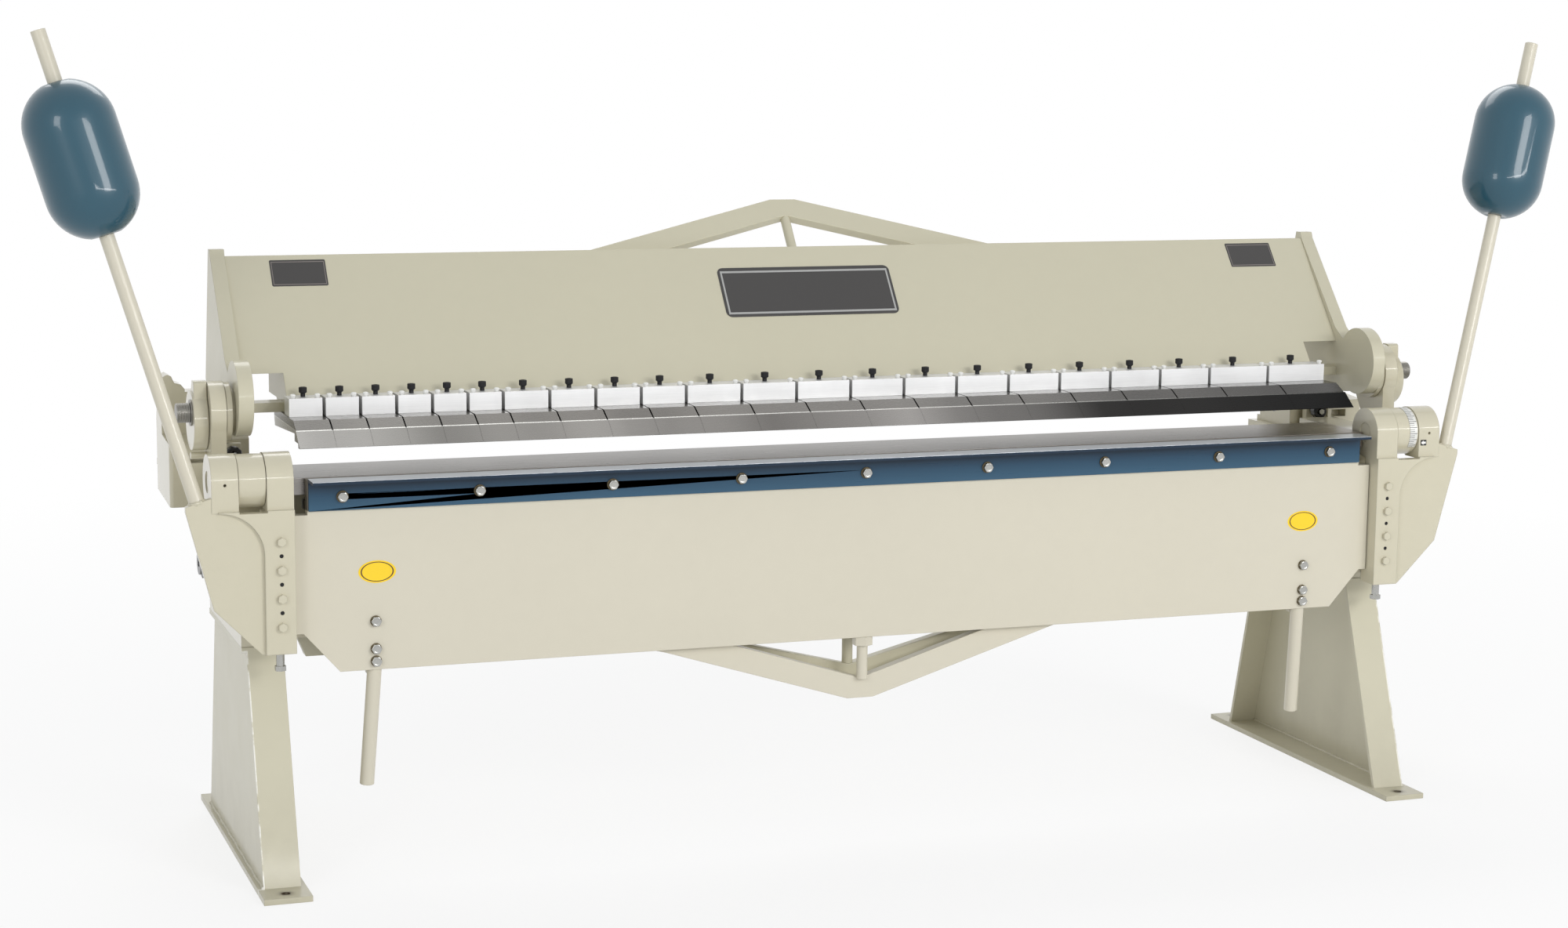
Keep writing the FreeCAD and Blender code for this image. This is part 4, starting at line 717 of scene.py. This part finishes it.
def labels():
    """Badge and side plates on the leaf, ovals on the apron, the plate with the arrow on the right casting."""
    charcoal, silver, brown_grey = linear(46, 44, 43), linear(168, 168, 166), linear(120, 112, 108)
    yellow, brown = linear(255, 214, 4), linear(96, 62, 14)
    badge = label_material("badge_plate", (-0.002, 1.158), (0.207, 0.051), charcoal, silver, 0.006, 0.004)
    plaque("badge_plate", "leaf", badge, (-0.002, 0.0903, 1.158), LEAF_UP, (0.207, 0.0655),
           0.0015, (0.014, 0.014))
    for side, name in SIDES:
        x, z = side * 1.147, 1.2165
        note = label_material("side_plate_" + name, (x, z), (0.060, 0.0262), charcoal, brown_grey, 0.003, 0.0015)
        plaque("side_plate_" + name, "leaf", note, (x, 0.1369, z), LEAF_UP, (0.060, 0.0335),
               0.0008, (0.003, 0.003))
        x, z, half = side * 1.072, 0.640, (0.039, 0.0235)
        oval = label_material("oval_label_" + name, (x, z), half, yellow, brown, 0.0028, 0.0018, oval=True)
        plaque("oval_label_" + name, "apron", oval, (x, -0.284, z), Z, half, 0.0005, half)
    plaque("pointer_plate", "apron", pointer_material(), (POINTER_X, POINTER_Y, POINTER_Z), Z,
           (0.0075, 0.0065), 0.0010, (0.0008, 0.0008))


# Fasteners with their real round and knurled forms, one set for each node they stand for
def front_bolts(node, name, washer_radius):
    """Hexagon bolts with washers that enter the apron from the front."""
    flats, head, thick, shank, edge = 0.019, 0.008, 0.0025, 0.006, 0.0005
    heads, washers = bmesh.new(), bmesh.new()
    for points in islands(node):
        low, high = points.min(axis=0), points.max(axis=0)
        face = V(((low[0] + high[0]) / 2, low[1], (low[2] + high[2]) / 2))
        end = high[1] - low[1]
        lathe(heads, face, Y, [(head - edge, shank), (end - 0.0012, shank), (end, shank - 0.001)], 24)
        skin(heads, [hex_ring(heads, face + Y * t, Y, flats, 48, limit) for t, limit in
                     ((head, math.inf), (0.0011, math.inf), (0.0004, flats * 0.53), (0, flats * 0.47),
                      (0.0002, flats * 0.36), (0.0006, flats * 0.30))])
        lathe(washers, face, Y, [(head + thick, washer_radius), (head + edge, washer_radius),
                                 (head, washer_radius - edge), (head, washer_radius * 0.55)], 40)
    finished(name, heads, "apron", zinc, smooth=False, replaces=(node,))
    finished(name + "_washers", washers, "apron", washer_steel, smooth=False)


def clamp_screws():
    """Socket screws with a knurled head."""
    shank, head_radius, socket_radius, head_height, socket_depth = 0.005, 0.0084, 0.0048, 0.012, 0.006
    screws = bmesh.new()
    for points in islands("clamp_screws"):
        foot, tall = standing(points)
        head = tall - head_height
        lathe(screws, foot, Z, [(0, shank), (head - 0.0015, shank), (head - 0.001, 0.0062), (head, 0.0066)], 24)
        rings = []
        for t, r in ((head, 0.0068), (head + 0.0012, head_radius), (tall - 0.0010, head_radius),
                     (tall, 0.0074), (tall, socket_radius), (tall - socket_depth, 0.0046)):
            centre = foot + Z * t
            rings.append(ring(screws, centre, Z, r, 48))
            if r == head_radius:
                draw_in(rings[-1][::2], centre, 0.07)
        skin(screws, rings)
    finished("clamp_screw_set", screws, "leaf", black, smooth=False, replaces=("clamp_screws",))


def clamp_buttons():
    """Pins with a round head, two on each clamp block."""
    neck, radius, shoulder = 0.0050, 0.0060, 0.62
    buttons = bmesh.new()
    for points in islands("clamp_buttons"):
        foot, tall = standing(points)
        profile = [(0.0, neck), (tall * 0.30, 0.0048), (tall * 0.38, 0.0058), (tall * shoulder, radius)]
        profile += [(tall * (shoulder + (1 - shoulder) * math.sin(a)), radius * math.cos(a) + 0.0006)
                    for a in (0.35, 0.7, 1.05, 1.35, 1.57)]
        lathe(buttons, foot, Z, profile, 24)
    finished("clamp_button_set", buttons, "leaf", pale, replaces=("clamp_buttons",))


def knobs():
    """Grooved handwheels with an open middle on the setback screws."""
    for _, side in SIDES:
        low, high = (V(c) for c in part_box("setback_knob_" + side))
        middle = (low + high) / 2
        start = V((middle.x, low.y, middle.z))
        long, radius = high.y - low.y, (high.x - low.x) / 2
        bm = bmesh.new()
        rings = []
        for t, r in ((0.0, 0.45), (0.0, 0.86), (0.003, 0.99), (long - 0.003, 0.99), (long, 0.86), (long, 0.45)):
            centre = start + Y * t
            rings.append(ring(bm, centre, Y, r * radius, 60))
            if r > 0.9:
                for k in range(3):
                    draw_in(rings[-1][k::6], centre, 0.035)
        skin_round(bm, rings)
        finished("setback_handwheel_" + side, bm, "setback_" + side, knob_black, smooth=False,
                 replaces=("setback_knob_" + side,))


def stud_threads():
    """The thread that shows on each stud of the leaf."""
    x, end, pitch = 1.4175, 1.4446, 0.003
    core, root, crest = 0.019, 0.01955, 0.0204
    profile = [(x, core), (x, root)]
    while x + pitch < end:
        profile += [(x + pitch * 0.42, crest), (x + pitch * 0.58, crest), (x + pitch, root)]
        x += pitch
    profile.append((x, core))
    for side, name in SIDES:
        bm = bmesh.new()
        skin_round(bm, [ring(bm, V((side * t, TRUNNION_Y, TRUNNION_Z)), X, r, 64) for t, r in profile])
        finished("stud_thread_" + name, bm, "leaf", stud_steel, smooth=False)


def rod_weld(side, name):
    """A lumpy bead where a counterweight rod enters its casting."""
    radius, sunk, steps = 0.0148, 0.004, 72
    foot, top = (V((side * p.x, p.y, p.z)) for p in (ROD_FOOT, ROD_TOP))
    axis = (top - foot).normalized()
    first = (Y - axis * Y.dot(axis)).normalized()
    second = axis.cross(first)
    bm = bmesh.new()
    rings = []
    for k in range(steps):
        turn = FULL_TURN * k / steps
        out = math.cos(turn) * first + math.sin(turn) * second
        lump = 0.0042 + 0.0006 * math.sin(11 * turn) + 0.0004 * math.sin(7 * turn + 1)
        rings.append(loop(bm, foot - axis * sunk + out * radius, out, axis, [lump] * 10))
    skin_round(bm, rings)
    finished("weld_bead_" + name, bm, "apron", cast_cream)


def leg_weld(side, name):
    """Two lumpy beads along the foot of a leg, outside and inside its web."""
    height, step = 0.0122, 0.0036
    bm = bmesh.new()
    for x, front, back in ((1.3252, -0.350, 0.345), (1.3153, -0.338, 0.332)):
        steps = int((back - front) / step)
        rings = []
        for k in range(steps + 1):
            y = front + (back - front) * k / steps
            wave = math.sin(2.1 * k + 1.3 * math.sin(0.37 * k)) + 0.6 * math.sin(0.83 * k + side)
            lump = 0.0038 + 0.0007 * wave
            drift = 0.0007 * math.sin(0.21 * k + 40 * x)
            rings.append(loop(bm, V((side * (x + drift), y, height)), side * X, Z, [lump] * 8))
        skin(bm, rings)
    finished("leg_weld_" + name, bm, "frame", leg_cream)


counterweights()
labels()
front_bolts("angle_bolts", "angle_bolt_set", 0.0125)
front_bolts("handle_bolts", "handle_bolt_set", 0.0115)
clamp_screws()
clamp_buttons()
knobs()
stud_threads()
for sign, end_name in SIDES:
    rod_weld(sign, end_name)
    leg_weld(sign, end_name)


# Floor: lit near the machine, where it keeps the shadow, and plain white from far on
def add_floor():
    size, near, far = 60, 1.4, 5.0
    bm = bmesh.new()
    bm.faces.new([bm.verts.new((x * size, y * size, 0)) for x, y in ((-1, -1), (1, -1), (1, 1), (-1, 1))])
    mesh = bpy.data.meshes.new("floor")
    bm.to_mesh(mesh)
    bm.free()
    s = Surface("floor")
    s.shader.inputs["Roughness"].default_value = 0.8
    s.shader.inputs["Base Color"].default_value = (0.93, 0.93, 0.93, 1)
    axes = s.axes()
    white_share = s.spread(s.distance(axes["X"], axes["Y"]), 0.78, 1.0, near, far)
    white = s.node("ShaderNodeEmission")
    white.inputs["Strength"].default_value = 1.0
    blend_shaders(s.tree, s.math("MULTIPLY", white_share, background_ray(s.tree)), s.shader.outputs[0],
                  white.outputs[0], s.tree.nodes["Material Output"].inputs["Surface"])
    mesh.materials.append(s.material)
    floor = add_object("floor", mesh)


add_camera()
add_light()
add_floor()
bpy.context.scene.view_settings.view_transform = "Standard"
